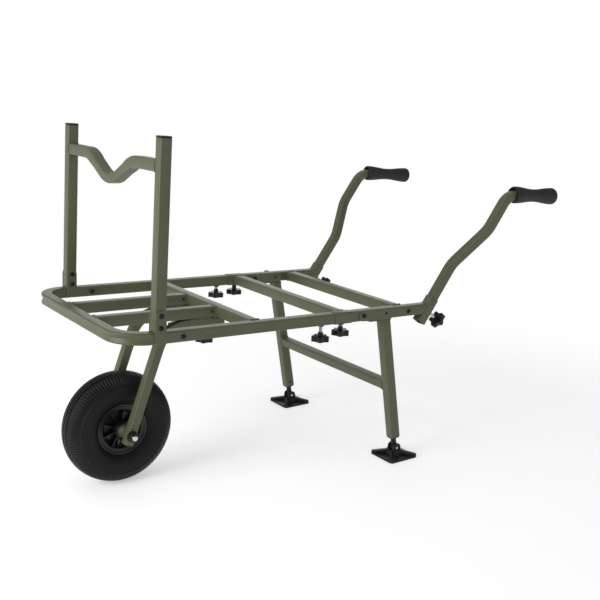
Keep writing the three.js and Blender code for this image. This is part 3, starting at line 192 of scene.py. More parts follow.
# Front loop
# Both front side rails and the front tube are one length of 25 mm square steel tube. Its two corners
# are bent cold over a former that presses a furrow down their outer wall. Two weld nuts under it
# take the clamp knobs.
tube = 0.025
tube_half = tube / 2
tube_corner = 0.003
tube_wall = 0.0015
rail_y = 0.241
loop_front_x = -0.2755
loop_bend = 0.066
bend_step = math.radians(5)
furrow_depth = 0.0047
furrow_fade = 0.7
furrow_reach = 0.0014
furrow_section = ((0, 1), (0.00317, 0.8), (-0.00317, 0.8), (0.00633, 0.22), (-0.00633, 0.22))
seam_x = 0.2415
seam_gap = 0.0003
front_knob_x = 0.210
gate_bolt_x = -0.148
gate_bolt_z = -0.0125
bolt_hole = 0.0032


def fine_texture():
    """Shared effect: a fine moulded or sprayed surface, as a normal, with a slow cloudy mask."""
    group = bpy.data.node_groups.new("fine_texture", "ShaderNodeTree")
    for name, way, kind in (
        ("Scale", "INPUT", "NodeSocketFloat"),
        ("Depth", "INPUT", "NodeSocketFloat"),
        ("Cloud Scale", "INPUT", "NodeSocketFloat"),
        ("Normal", "OUTPUT", "NodeSocketVector"),
        ("Cloud", "OUTPUT", "NodeSocketFloat"),
        ("Grain", "OUTPUT", "NodeSocketFloat"),
    ):
        group.interface.new_socket(name, in_out=way, socket_type=kind)
    given = add_node(group, "NodeGroupInput")
    put_out = add_node(group, "NodeGroupOutput")
    place = add_node(group, "ShaderNodeTexCoord")
    grain = add_node(group, "ShaderNodeTexNoise", {"Detail": 3, "Roughness": 0.6})
    cloud = add_node(group, "ShaderNodeTexNoise", {"Detail": 4})
    bump = add_node(group, "ShaderNodeBump", {"Strength": 0.6})
    link(
        group,
        (place, "Object", grain, "Vector"),
        (place, "Object", cloud, "Vector"),
        (given, "Scale", grain, "Scale"),
        (given, "Cloud Scale", cloud, "Scale"),
        (given, "Depth", bump, "Distance"),
        (grain, "Fac", bump, "Height"),
        (bump, "Normal", put_out, "Normal"),
        (cloud, "Fac", put_out, "Cloud"),
        (grain, "Fac", put_out, "Grain"),
    )
    return group


texture = fine_texture()


def finish(name, dark, light, rough, metal=0.0, grain=900, depth=0.0001, cloud=9, specular=0.5):
    """A material that drifts between two colours and two roughnesses over its fine texture."""
    made = bpy.data.materials.new(name)
    made.use_nodes = True
    tree = made.node_tree
    shader = tree.nodes["Principled BSDF"]
    shader.inputs["Metallic"].default_value = metal
    shader.inputs["Specular IOR Level"].default_value = specular
    surface = add_node(tree, "ShaderNodeGroup")
    surface.node_tree = texture
    surface.inputs["Scale"].default_value = grain
    surface.inputs["Depth"].default_value = depth
    surface.inputs["Cloud Scale"].default_value = cloud
    tint = add_node(tree, "ShaderNodeValToRGB")
    tint.color_ramp.elements[0].position = 0.3
    tint.color_ramp.elements[0].color = (*dark, 1)
    tint.color_ramp.elements[1].position = 0.7
    tint.color_ramp.elements[1].color = (*light, 1)
    span = {"From Min": 0.3, "From Max": 0.7, "To Min": rough[0], "To Max": rough[1]}
    gloss = add_node(tree, "ShaderNodeMapRange", span)
    link(
        tree,
        (surface, "Cloud", tint, "Fac"),
        (surface, "Grain", gloss, "Value"),
        (tint, "Color", shader, "Base Color"),
        (gloss, "Result", shader, "Roughness"),
        (surface, "Normal", shader, "Normal"),
    )
    return made


olive_coat = finish(
    "olive_powder_coat", (0.095, 0.100, 0.051), (0.108, 0.114, 0.059), (0.36, 0.48), grain=1500
)


def facing_turn(facing, side=None):
    """The turn that points an object's Z along `facing`, with its X as near `side` as it can be."""
    if side is None:
        side = Z if abs(facing.y) > 0.7 else Y
    along = facing.normalized()
    up = along.cross(side).normalized()
    return Matrix((up.cross(along), up, along)).transposed().to_euler()


def leave_edit():
    """Goes back to object mode."""
    bpy.ops.object.mode_set(mode="OBJECT")


def pick(piece, wanted, mode="VERT"):
    """Selects in edit mode what lies where `wanted` says, and nothing else."""
    if bpy.context.mode == "OBJECT":
        deselect()
    bpy.context.view_layer.objects.active = piece
    bpy.ops.object.mode_set(mode="EDIT")
    bpy.ops.mesh.select_mode(type=mode)
    bpy.ops.mesh.select_all(action="DESELECT")
    leave_edit()
    here = [piece.matrix_world @ v.co for v in piece.data.vertices]
    if mode == "VERT":
        for v in piece.data.vertices:
            v.select = bool(wanted(here[v.index]))
    else:
        for e in piece.data.edges:
            e.select = bool(wanted(here[e.vertices[0]], here[e.vertices[1]]))
    bpy.ops.object.mode_set(mode="EDIT")


def shift(piece, wanted, move):
    """Moves the points that lie where `wanted` says."""
    pick(piece, wanted)
    bpy.ops.transform.translate(value=move)
    leave_edit()


def draw_out(move, share=1, about=None):
    """Extrudes the selected ring or face, and sizes its new end about a point."""
    bpy.ops.mesh.extrude_region_move(TRANSFORM_OT_translate={"value": move})
    if about is not None:
        bpy.ops.transform.resize(value=(share, share, share), center_override=about)


def square_face(at, size, turn=(0, 0, 0)):
    """One square face in edit mode, with all its corners picked."""
    deselect()
    bpy.ops.mesh.primitive_plane_add(size=size, location=at, rotation=turn, enter_editmode=True)
    bpy.ops.mesh.select_mode(type="VERT")
    return bpy.context.object


def tube_outline(at, facing, side, size, corner, cuts=0):
    """The rounded square end of a tube, open, ready to be drawn out."""
    piece = square_face(at, size, facing_turn(facing, side))
    bpy.ops.mesh.bevel(affect="VERTICES", offset=corner, segments=4)
    bpy.ops.mesh.delete(type="ONLY_FACE")
    if cuts:
        pick(piece, lambda a, b: (a - b).length > size / 2, "EDGE")
        bpy.ops.mesh.subdivide(number_cuts=cuts)
    bpy.ops.mesh.select_all(action="SELECT")
    return piece


def draw_along(corners, radii):
    """Draws the selected outline along straight runs that are joined by bends."""
    at = corners[0]
    for before, corner, after, radius in zip(corners, corners[1:], corners[2:], radii):
        coming = (corner - before).normalized()
        leaving = (after - corner).normalized()
        angle = coming.angle(leaving)
        reach = radius * math.tan(angle / 2)
        start = corner - coming * reach
        axis = coming.cross(leaving).normalized()
        draw_out(start - at)
        bpy.ops.mesh.spin(
            steps=max(2, round(angle / bend_step)),
            angle=-angle,
            center=start + axis.cross(coming) * radius,
            axis=axis,
        )
        at = corner + leaving * reach
    draw_out(corners[-1] - at)


def turn_outward():
    """Points the faces of a skin outward and goes back to object mode."""
    bpy.ops.mesh.select_all(action="SELECT")
    bpy.ops.mesh.normals_make_consistent(inside=False)
    leave_edit()


def close_outward():
    """Closes a skin's open ends and points its faces outward."""
    bpy.ops.mesh.select_all(action="SELECT")
    bpy.ops.mesh.fill_holes(sides=0)
    turn_outward()


def hollow(piece, wall):
    """Opens both ends of a closed tube again and gives its skin a wall."""
    bpy.ops.object.mode_set(mode="EDIT")
    bpy.ops.mesh.select_mode(type="FACE")
    bpy.ops.mesh.select_all(action="DESELECT")
    bpy.ops.mesh.select_face_by_sides(number=4, type="GREATER")
    bpy.ops.mesh.delete(type="ONLY_FACE")
    leave_edit()
    skin = piece.modifiers.new("wall", "SOLIDIFY")
    skin.thickness = wall
    skin.offset = -1
    skin.use_even_offset = True
    bpy.ops.object.modifier_apply(modifier="wall")


def turned(profile, at, axis, facets=32):
    """A round piece: a ring drawn out and sized along its axis to (radius, distance) pairs."""
    deselect()
    bpy.ops.mesh.primitive_circle_add(
        vertices=facets,
        radius=profile[0][0],
        location=at + axis * profile[0][1],
        rotation=facing_turn(axis),
        enter_editmode=True,
    )
    bpy.ops.mesh.select_mode(type="VERT")
    for before, after in zip(profile, profile[1:]):
        draw_out(axis * (after[1] - before[1]), after[0] / before[0], at + axis * after[1])
    piece = bpy.context.object
    close_outward()
    return piece


def joined(pieces):
    """Several shapes as one piece."""
    deselect()
    for piece in pieces:
        piece.select_set(True)
    bpy.context.view_layer.objects.active = pieces[0]
    bpy.ops.object.join()
    return bpy.context.object


def cylinder(at, radius, depth, facets, axis=None):
    """A plain cylinder, upright or along an axis."""
    deselect()
    turn = facing_turn(axis) if axis else (0, 0, 0)
    bpy.ops.mesh.primitive_cylinder_add(
        vertices=facets, radius=radius, depth=depth, location=at, rotation=turn
    )
    return bpy.context.object


def cut_away(piece, cutter):
    """Cuts one shape out of another."""
    bore = piece.modifiers.new("cut", "BOOLEAN")
    bore.operation = "DIFFERENCE"
    bore.object = cutter
    deselect()
    bpy.context.view_layer.objects.active = piece
    bpy.ops.object.modifier_apply(modifier="cut")
    bpy.data.objects.remove(cutter)


def drill(piece, at, axis, radius, depth):
    """Bores a round hole through a point."""
    cut_away(piece, cylinder(at, radius, depth, 24, axis))


def hand_over(
    piece, node, part, body, material, place=deck, name=None, smooth=math.radians(35)
):
    """Sets a piece that was made square to the deck down on the trolley, for a node of a body.

    The piece keeps only the given material.
    """
    piece.matrix_world = place @ piece.matrix_world
    deselect()
    piece.select_set(True)
    bpy.context.view_layer.objects.active = piece
    bpy.ops.object.transform_apply(location=True, rotation=True, scale=True)
    bpy.ops.object.shade_smooth_by_angle(angle=smooth)
    piece.name = name or f"{node}_{part}"
    piece.data.name = piece.name
    piece.data.materials.clear()
    piece.data.materials.append(material)
    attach(piece, body)
    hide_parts(node)


def weld_nut(at, down):
    """The conical nut that is welded to a tube for a clamp stud."""
    profile = [(0.0087, -0.001), (0.0087, 0.0008), (0.0062, 0.004), (0.0045, 0.0041), (0.0045, 0.0005)]
    return turned(profile, at, down)


loop_corners = [
    Vector((seam_x - seam_gap, -rail_y, -tube_half)),
    Vector((loop_front_x, -rail_y, -tube_half)),
    Vector((loop_front_x, rail_y, -tube_half)),
    Vector((seam_x - seam_gap, rail_y, -tube_half)),
]
loop = tube_outline(loop_corners[0], -X, Y, tube, tube_corner, cuts=5)
draw_along(loop_corners, [loop_bend, loop_bend])
close_outward()
for name, sign in left_and_right:
    hub = Vector((loop_front_x + loop_bend, sign * (rail_y - loop_bend), 0))
    steps = round(math.pi / 2 / bend_step)
    for step in range(1, steps):
        turn = math.pi / 2 * step / steps
        out = Vector((-math.cos(turn), sign * math.sin(turn), 0))
        for height, share in furrow_section:
            spot = hub + out * (loop_bend + tube_half) - Z * (tube_half - height)
            press = -out * (furrow_depth * share * math.sin(2 * turn) ** furrow_fade)
            shift(loop, lambda p: (p - spot).length < furrow_reach, press)
hollow(loop, tube_wall)
for name, sign in left_and_right:
    drill(loop, Vector((gate_bolt_x, sign * rail_y, gate_bolt_z)), Y, bolt_hole, 2 * tube)
loop = joined([
    loop,
    weld_nut(Vector((front_knob_x, -rail_y, -tube)), -Z),
    weld_nut(Vector((front_knob_x, rail_y, -tube)), -Z),
])
hand_over(loop, "front_loop", "tube", "front_frame", olive_coat)

# Crossbars
# Three lengths of the same square tube, welded between the side rails: one joins the front frame
# behind the fork sleeves, and two the rear frame. A rippled weld runs round each end.
front_cross_x = 0.039
rear_cross_x = 0.4415
rail_inner_y = rail_y - tube_half
collar_step = 0.0013
weld_sink = 0.0006
bead_radius = 0.0024
bead_cuts = 11
ripple_sizes = (1.08, 0.78)
ripple_chance = (0.86, 1.14)
weld_chance = random.Random(3)


def drawn_tube(corners, radii, side, size, corner, wall=tube_wall):
    """A length of square tube along straight runs and bends. Without a wall it is solid."""
    piece = tube_outline(corners[0], corners[1] - corners[0], side, size, corner)
    draw_along(corners, radii)
    close_outward()
    if wall:
        hollow(piece, wall)
    return piece


def straight_tube(start, end, side, size=tube, corner=tube_corner, wall=tube_wall):
    """A straight length of square tube."""
    return drawn_tube([start, end], [], side, size, corner, wall)


def rippled(radius):
    """A run of weld along the active line of edges: a lumpy round bead."""
    leave_edit()
    bpy.ops.object.convert(target="CURVE")
    bead = bpy.context.object
    bead.data.bevel_depth = radius
    bead.data.bevel_resolution = 2
    bead.data.use_fill_caps = True
    for i, point in enumerate(bead.data.splines[0].points):
        point.radius = ripple_sizes[i % 2] * weld_chance.uniform(*ripple_chance)
    bpy.ops.object.convert(target="MESH")
    return bpy.context.object


def weld_bead(at, facing, side, size=tube):
    """A rippled weld that runs round the end of a tube."""
    size = size - weld_sink
    bead = tube_outline(at, facing, side, size, tube_corner)
    pick(bead, lambda a, b: (a - b).length > size / 3, "EDGE")
    bpy.ops.mesh.subdivide(number_cuts=bead_cuts)
    return rippled(bead_radius)


for name, x, inset, body in (
    ("front", front_cross_x, 0, "front_frame"),
    ("middle", middle_cross_x, collar_step, "rear_frame"),
    ("rear", rear_cross_x, 0, "rear_frame"),
):
    reach = rail_inner_y - inset - seam_gap
    start = Vector((x, -reach, -tube_half))
    end = Vector((x, reach, -tube_half))
    bar = joined([straight_tube(start, end, X), weld_bead(start, Y, X), weld_bead(end, Y, X)])
    hand_over(bar, f"crossbar_{name}", "tube", body, olive_coat)

# Long bars and fork sleeves
# Two bars run from the front tube to the first crossbar. A sleeve of the same tube is welded under
# each, for the fork's arm to slide in, with a weld nut below it for the clamp knob.
bar_y = 0.070
sleeve_front_x = -0.040
sleeve_rear_x = 0.050
sleeve_z = -tube - seam_gap - tube_half
sleeve_weld_y = 0.0112
sleeve_weld_x = (-0.022, 0.016)
fork_knob_x = 0.0044
bar_eye_x = 0.016
bar_eye_z = -0.0105
bar_eye = 0.0025
ripple_length = 0.0016
near = 0.001
sleeve_weld = 0.0019


def wire(points):
    """A line of edges through points, left in edit mode."""
    piece = square_face(points[0], near)
    bpy.ops.mesh.merge(type="CENTER")
    for before, after in zip(points, points[1:]):
        move = [b - a for a, b in zip(before, after)]
        bpy.ops.mesh.extrude_vertices_move(TRANSFORM_OT_translate={"value": move})
    return piece


def weld_run(start, end, radius):
    """A straight rippled weld."""
    ripples = round((end - start).length / ripple_length)
    wire([start.lerp(end, i / ripples) for i in range(ripples + 1)])
    return rippled(radius)


for name, sign in left_and_right:
    y = sign * bar_y
    bar_start = Vector((loop_front_x + tube_half + seam_gap, y, -tube_half))
    bar_end = Vector((front_cross_x - tube_half - seam_gap, y, -tube_half))
    bar = straight_tube(bar_start, bar_end, Y)
    drill(bar, Vector((bar_eye_x, y, bar_eye_z)), Y, bar_eye, 2 * tube)
    sleeve = straight_tube(
        Vector((sleeve_front_x, y, sleeve_z)), Vector((sleeve_rear_x, y, sleeve_z)), Y
    )
    parts = [bar, sleeve, weld_nut(Vector((fork_knob_x, y, sleeve_z - tube_half)), -Z)]
    parts += [weld_bead(bar_start, X, Y), weld_bead(bar_end, X, Y)]
    for side in (-1, 1):
        seam = [Vector((x, y + side * sleeve_weld_y, -tube - seam_gap / 2)) for x in sleeve_weld_x]
        parts.append(weld_run(*seam, sleeve_weld))
    hand_over(joined(parts), f"long_bar_{name}", "tube", "front_frame", olive_coat)

# Telescoping tubes
# Inside each side rail a zinc-plated square tube joins the front and rear halves of the deck. They
# show only where the halves are drawn apart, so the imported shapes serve, in brushed zinc.
zinc = finish(
    "zinc_plate", (0.5, 0.5, 0.51), (0.62, 0.62, 0.63), (0.24, 0.4),
    metal=1, grain=700, depth=0.00004, cloud=40,
)
for name, sign in left_and_right:
    inner = frame["nodes"][f"inner_tube_{name}"]
    inner.data.materials.clear()
    inner.data.materials.append(zinc)

# Rear rails
# Each rear rail is a length of square tube that starts in a slightly wider collar, where the front
# half slides in. A slanted socket for the handle is welded to its rear end.
collar_length = 0.0485
collar_overlap = 0.0004
collar_edge = 0.0007
rear_knob_x = 0.266
socket_block = 3 * tube
socket_tilt = math.radians(55.5)
socket_length = 0.0687
socket_x = 0.52545
socket_z = -0.0175
socket_along = Vector((math.cos(socket_tilt), 0, math.sin(socket_tilt)))
socket_rear = Vector((math.sin(socket_tilt), 0, -math.cos(socket_tilt)))
socket_weld_low = 0.0172
socket_weld_high = 0.0122
socket_weld = 0.0013
socket_weld_inset = 0.0007
socket_edge = 0.0004
leg_pivot_x = 0.322
leg_pivot_z = -0.0115
lock_x = 0.389
lock_z = -0.011
lock_hole = 0.003


def soften(piece, width, angle=math.radians(40), steps=2):
    """Rounds a piece's sharp edges."""
    deselect()
    bpy.context.view_layer.objects.active = piece
    edge = piece.modifiers.new("edge", "BEVEL")
    edge.width = width
    edge.segments = steps
    edge.limit_method = "ANGLE"
    edge.angle_limit = angle
    edge.harden_normals = False
    bpy.ops.object.modifier_apply(modifier="edge")


def block(at, size, axis=None):
    """A plain cube, upright or along an axis."""
    deselect()
    turn = facing_turn(axis) if axis else (0, 0, 0)
    bpy.ops.mesh.primitive_cube_add(size=size, location=at, rotation=turn)
    return bpy.context.object


for name, sign in left_and_right:
    y = sign * rail_y
    rail_start = Vector((seam_x, y, -tube_half))
    rail = straight_tube(rail_start, Vector((socket_x + tube, y, -tube_half)), Y)
    socket_at = Vector((socket_x, y, socket_z))
    beyond = socket_at + socket_rear * (socket_block / 2 - tube_half + tube_wall / 2)
    cut_away(rail, block(beyond, socket_block, socket_along))
    drill(rail, Vector((leg_pivot_x, y, leg_pivot_z)), Y, bolt_hole, 2 * tube)
    drill(rail, Vector((lock_x, y, lock_z)), Y, lock_hole, 2 * tube)
    collar = straight_tube(
        rail_start,
        rail_start + X * collar_length,
        Y,
        size=tube + 2 * collar_step,
        corner=tube_corner + collar_step,
        wall=collar_step + collar_overlap,
    )
    soften(collar, collar_edge)
    half = socket_along * (socket_length / 2)
    socket = straight_tube(socket_at - half, socket_at + half, Y)
    soften(socket, socket_edge)
    joint = socket_at - socket_rear * tube_half
    low = joint - socket_along * socket_weld_low
    high = joint + socket_along * socket_weld_high
    flank = Y * (tube_half - socket_weld_inset)
    welds = [weld_run(low + flank * way, high + flank * way, socket_weld) for way in (1, -1)]
    welds.append(weld_run(high - flank, high + flank, socket_weld))
    rail = joined([
        rail,
        collar,
        socket,
        weld_nut(Vector((rear_knob_x, y, -tube - collar_step)), -Z),
        weld_nut(socket_at + socket_rear * tube_half, socket_rear),
        *welds,
    ])
    hand_over(rail, f"rear_rail_{name}", "tube", "rear_frame", olive_coat)

# Gate posts and rest
# Two square posts, closed by black plastic caps, stand on the rails. The rest between them is one
# length of the same tube, bent down to a valley and squeezed a little on the slopes.
post_x = -0.1988
post_lean = math.radians(0.93)
post_height = 0.3872
post_bolt_heights = (0.0093, 0.0344)
cap_thickness = 0.0045
cap_chamfer = 0.0012
cap_edge = 0.0004
plug_size = 0.0214
plug_corner = 0.0015
rest_height = 0.3328
rest_corner_y = 0.116
rest_drop = 0.0566
rest_bend = 0.090
rest_squeeze = 0.0016
squeeze_start = 0.030
squeeze_end = 0.044
hair = 0.0002
gate = deck @ Matrix.Translation((post_x, 0, 0)) @ Matrix.Rotation(post_lean, 4, "Y")
black_plastic = finish(
    "black_plastic", (0.006, 0.006, 0.0062), (0.010, 0.010, 0.0102), (0.28, 0.42),
    grain=1100, specular=0.32,
)
for name, sign in left_and_right:
    y = sign * rail_y
    foot = seam_gap + tube_half * math.tan(post_lean)
    post = straight_tube(Vector((0, y, foot)), Vector((0, y, post_height)), Y)
    for height in post_bolt_heights:
        drill(post, Vector((0, y, height)), Y, bolt_hole, 2 * tube)
    hand_over(post, f"post_{name}", "tube", "gate", olive_coat, place=gate)

    cap_at = Vector((0, y, post_height + seam_gap))
    lid = tube_outline(cap_at, Z, Y, tube, tube_corner)
    draw_out(Z * (cap_thickness - cap_chamfer))
    draw_out(Z * cap_chamfer, (tube - 2 * cap_chamfer) / tube, cap_at + Z * cap_thickness)
    close_outward()
    soften(lid, cap_edge, angle=math.radians(30))
    bung = straight_tube(cap_at - Z * (2 * cap_thickness), cap_at, Y, plug_size, plug_corner, wall=0)
    hand_over(
        joined([lid, bung]), f"post_cap_{name}", "lid", "gate", black_plastic,
        place=gate, name=f"post_{name}_lid",
    )

rest_reach = rail_inner_y - seam_gap
rest_corners = [
    Vector((0, -rest_reach, rest_height)),
    Vector((0, -rest_corner_y, rest_height)),
    Vector((0, 0, rest_height - rest_drop)),
    Vector((0, rest_corner_y, rest_height)),
    Vector((0, rest_reach, rest_height)),
]
slope_in = (rest_corners[2] - rest_corners[1]).normalized()
slope_out = (rest_corners[3] - rest_corners[2]).normalized()
first_full = rest_corners[1] + slope_in * squeeze_start
first_squeezed = rest_corners[1] + slope_in * squeeze_end
last_squeezed = rest_corners[3] - slope_out * squeeze_end
last_full = rest_corners[3] - slope_out * squeeze_start


def squeeze(piece, at, along, by, beyond):
    """Moves the upper and lower edges of the tube's last ring together, and picks the whole ring."""
    upward = X.cross(along).normalized()
    upward = upward if upward.z > 0 else -upward
    leave_edit()
    for way in (1, -1):
        shift(
            piece,
            lambda p: abs((p - at).dot(along)) < near and way * (p - at).dot(upward) > beyond,
            upward * (-way * by),
        )
    pick(piece, lambda p: abs((p - at).dot(along)) < near and (p - at).length < tube)


rest = tube_outline(rest_corners[0], Y, X, tube, tube_corner)
draw_along([rest_corners[0], rest_corners[1], first_full], [rest_bend])
draw_out(first_squeezed - first_full)
squeeze(rest, first_squeezed, slope_in, rest_squeeze, tube_half - tube_corner - hair)
draw_along([first_squeezed, rest_corners[2], last_squeezed], [rest_bend])
draw_out(last_full - last_squeezed)
squeeze(rest, last_full, slope_out, -rest_squeeze, tube_half / 2)
draw_along([last_full, rest_corners[3], rest_corners[4]], [rest_bend])
close_outward()
hollow(rest, tube_wall)
rest = joined([rest, weld_bead(rest_corners[0], Y, X), weld_bead(rest_corners[4], Y, X)])
hand_over(rest, "rest_bar", "tube", "gate", olive_coat, place=gate)

# Corner plates and gate bolts
# On each side of a post a flat steel plate reaches up the post and back along the rail. Two button
# bolts clamp the pair to the post, and a third behind them is the one that the gate folds about.
plate_thickness = 0.0028
plate_arm_top = 0.045
plate_arm_rear = -0.1375
plate_width = 0.025
plate_foot = -0.0205
plate_top = -tube_wall
plate_front = post_x - tube_half
plate_edge = 0.0011
bolt_radius = 0.0029
bolt_socket = 0.0023
bolt_socket_height = 0.0036
bolt_socket_depth = 0.004
rail_outer_y = rail_y + tube_half
black_steel = finish(
    "black_steel", (0.005, 0.005, 0.0053), (0.010, 0.010, 0.0105), (0.24, 0.38),
    metal=0.2, grain=800, specular=0.36,
)


def sheet(corners, roundings, depth):
    """A flat plate: an outline drawn point by point, its corners rounded, and drawn out by a depth."""
    piece = wire(corners)
    bpy.ops.mesh.select_all(action="SELECT")
    bpy.ops.mesh.edge_face_add()
    for corner, rounding in zip(corners, roundings):
        if rounding:
            leave_edit()
            pick(piece, lambda p: (p - corner).length < near / 10)
            bpy.ops.mesh.bevel(affect="VERTICES", offset=rounding, segments=8)
    bpy.ops.mesh.select_all(action="SELECT")
    draw_out(depth)
    turn_outward()
    return piece


def side_plate(sign, way, corners, roundings, thickness, holes):
    """A plate close beside a rail, on its outer side or, where `way` is -1, on its inner side."""
    y = sign * ((rail_outer_y if way > 0 else rail_inner_y) + way * seam_gap)
    outline = [Vector((x, y, z)) for x, z in corners]
    plate = sheet(outline, roundings, Y * (sign * way * thickness))
    for x, z, radius in holes:
        drill(plate, Vector((x, y, z)), Y, radius, tube)
    return plate


def button_head(at, out):
    """A domed bolt head with a hexagonal socket."""
    profile = [
        (0.0055, 0), (0.0055, 0.0009), (0.0050, 0.0019), (0.0040, 0.0028), (0.0028, 0.0033),
        (0.0012, 0.0034),
    ]
    head = turned(profile, at, out)
    cut_away(head, cylinder(at + out * bolt_socket_height, bolt_socket, bolt_socket_depth, 6, out))
    return head


def through_bolt(x, z, sign, over):
    """A button bolt across a rail or post, with its nut. What it clamps lies `over` each side."""
    out = Y * sign
    head_at = Vector((x, sign * (rail_outer_y + over), z))
    nut_at = Vector((x, sign * (rail_inner_y - over), z))
    shank = turned([(bolt_radius, 0), (bolt_radius, tube + 2 * over)], nut_at, out, facets=20)
    nut = [(0.005452, 0), (0.0058, 0.0005), (0.0058, 0.0030), (0.00522, 0.0036)]
    return joined([button_head(head_at, out), turned(nut, nut_at, -out, facets=6), shank])


plate_corners = [
    (plate_front, plate_foot),
    (plate_arm_rear, plate_foot),
    (plate_arm_rear, plate_top),
    (plate_front + plate_width, plate_top),
    (plate_front + plate_width, plate_arm_top),
    (plate_front, plate_arm_top),
]
plate_end = (plate_width - hair) / 2
plate_nose = (plate_top - plate_foot - hair) / 2
plate_roundings = [0.005, plate_nose, plate_nose, 0.006, plate_end, plate_end]
plate_holes = [(gate_bolt_x, gate_bolt_z, bolt_hole)]
for name, sign in left_and_right:
    for where, way in (("outer", 1), ("inner", -1)):
        plate = side_plate(sign, way, plate_corners, plate_roundings, plate_thickness, plate_holes)
        soften(plate, plate_edge, steps=3)
        if where == "outer":
            bolts = [
                through_bolt(post_x + z * math.tan(post_lean), z, sign, seam_gap + plate_thickness)
                for z in post_bolt_heights
            ]
            hand_over(
                joined(bolts), f"corner_plate_outer_{name}", "bolts", "gate", black_steel,
                name=f"post_bolts_{name}",
            )
        hand_over(plate, f"corner_plate_{where}_{name}", "sheet", "gate", olive_coat)
    pivot = through_bolt(gate_bolt_x, gate_bolt_z, sign, 2 * seam_gap + plate_thickness)
    hand_over(pivot, f"gate_bolt_{name}", "steel", "front_frame", black_steel)

# Fork
# Two arms of lighter square tube slide level in their sleeves and bend down to the axle. A thin black
# strip is pressed over the outside of each bend.
slim = 0.0214
slim_half = slim / 2
slim_corner = 0.0025
slim_edge = 0.0002
deck_height = 0.4048
tyre_radius = 0.130
axle_hole = 0.00625
fork_rear_x = 0.047
fork_corner_x = -0.0963
fork_lean = math.radians(18.47)
fork_bend = 0.072
fork_tail = 0.0225
strip_arc = math.radians(48)
strip_thickness = 0.0014
strip_stand = 0.0010
strip_corner = 0.0005
strip_width_share = 6.43
arm_fall = sleeve_z + deck_height - tyre_radius / math.cos(deck_pitch)
arm_run = fork_corner_x - arm_fall * math.tan(fork_lean)
axle_x = arm_run / (1 - math.tan(deck_pitch) * math.tan(fork_lean))
axle_z = sleeve_z - (fork_corner_x - axle_x) / math.tan(fork_lean)
arm_down = Vector((-math.sin(fork_lean), 0, -math.cos(fork_lean)))
bend_tangent = fork_bend * math.tan((math.pi / 2 - fork_lean) / 2)
for name, sign in left_and_right:
    y = sign * bar_y
    axle_point = Vector((axle_x, y, axle_z))
    arm_corners = [
        Vector((fork_rear_x, y, sleeve_z)),
        Vector((fork_corner_x, y, sleeve_z)),
        axle_point + arm_down * fork_tail,
    ]
    arm = drawn_tube(arm_corners, [fork_bend], Y, slim, slim_corner)
    drill(arm, axle_point, Y, axle_hole, 2 * slim)
    soften(arm, slim_edge)
    hand_over(arm, f"fork_arm_{name}", "tube", "fork", olive_coat)

    bend_middle = Vector((fork_corner_x + bend_tangent, y, sleeve_z - fork_bend))
    strip_at = bend_middle + Z * (fork_bend + slim_half + strip_stand)
    strip = square_face(strip_at, strip_thickness, facing_turn(-X))
    bpy.ops.transform.resize(value=(1, strip_width_share, 1), center_override=strip_at)
    bpy.ops.mesh.bevel(affect="VERTICES", offset=strip_corner, segments=3)
    bpy.ops.mesh.delete(type="ONLY_FACE")
    bpy.ops.mesh.select_all(action="SELECT")
    bpy.ops.mesh.spin(steps=16, angle=strip_arc, center=bend_middle, axis=Y)
    close_outward()
    hand_over(strip, f"fork_strip_{name}", "band", "fork", black_plastic)

# Tyre
# A pneumatic rubber tyre: ribs parted by three zig-zag grooves round the crown, fine radial blocks down
# each shoulder, smooth walls with a moulded ridge, and beads that grip the rim.
wheel = Matrix.Translation(deck @ Vector((axle_x, 0, axle_z)))
tread_blocks = 108
tread_steps = 4 * tread_blocks
tyre_half = 0.0425
tread_half = 0.0245
crown_drop = 0.0055
groove_y = 0.01225
groove_floor = 0.0010
groove_depth = 0.0032
middle_depth = 0.0030
zig_zag = 0.0009
groove_mouth = 0.0018
middle_groove = 0.0025
side_groove = (0.0098, 0.0147)
groove_bottom = 0.121
block_share = 0.987
block_inset = 0.0006
block_span = (0.0235, 0.0400)
block_bottom = 0.107
rubber = finish(
    "tyre_rubber", (0.006, 0.0059, 0.0062), (0.0095, 0.0094, 0.0098), (0.42, 0.58),
    grain=500, depth=0.0002, specular=0.2,
)


def spun(points, steps):
    """A ring: a closed outline of (radius, distance) points turned all the way round Y."""
    ring = wire([(r, y, 0) for r, y in [*points, points[0]]])
    bpy.ops.mesh.select_all(action="SELECT")
    bpy.ops.mesh.spin(steps=steps, angle=2 * math.pi, center=(0, 0, 0), axis=Y)
    bpy.ops.mesh.select_all(action="SELECT")
    bpy.ops.mesh.remove_doubles(threshold=0.00001)
    turn_outward()
    return ring


def crown(y):
    """The crown's radius at a distance from the tyre's middle."""
    return tyre_radius - crown_drop * (y / tread_half) ** 2


def tread_step(p):
    """Which of the steps round the tyre a point lies on."""
    return round(math.atan2(p.z, p.x) / (2 * math.pi) * tread_steps) % tread_steps


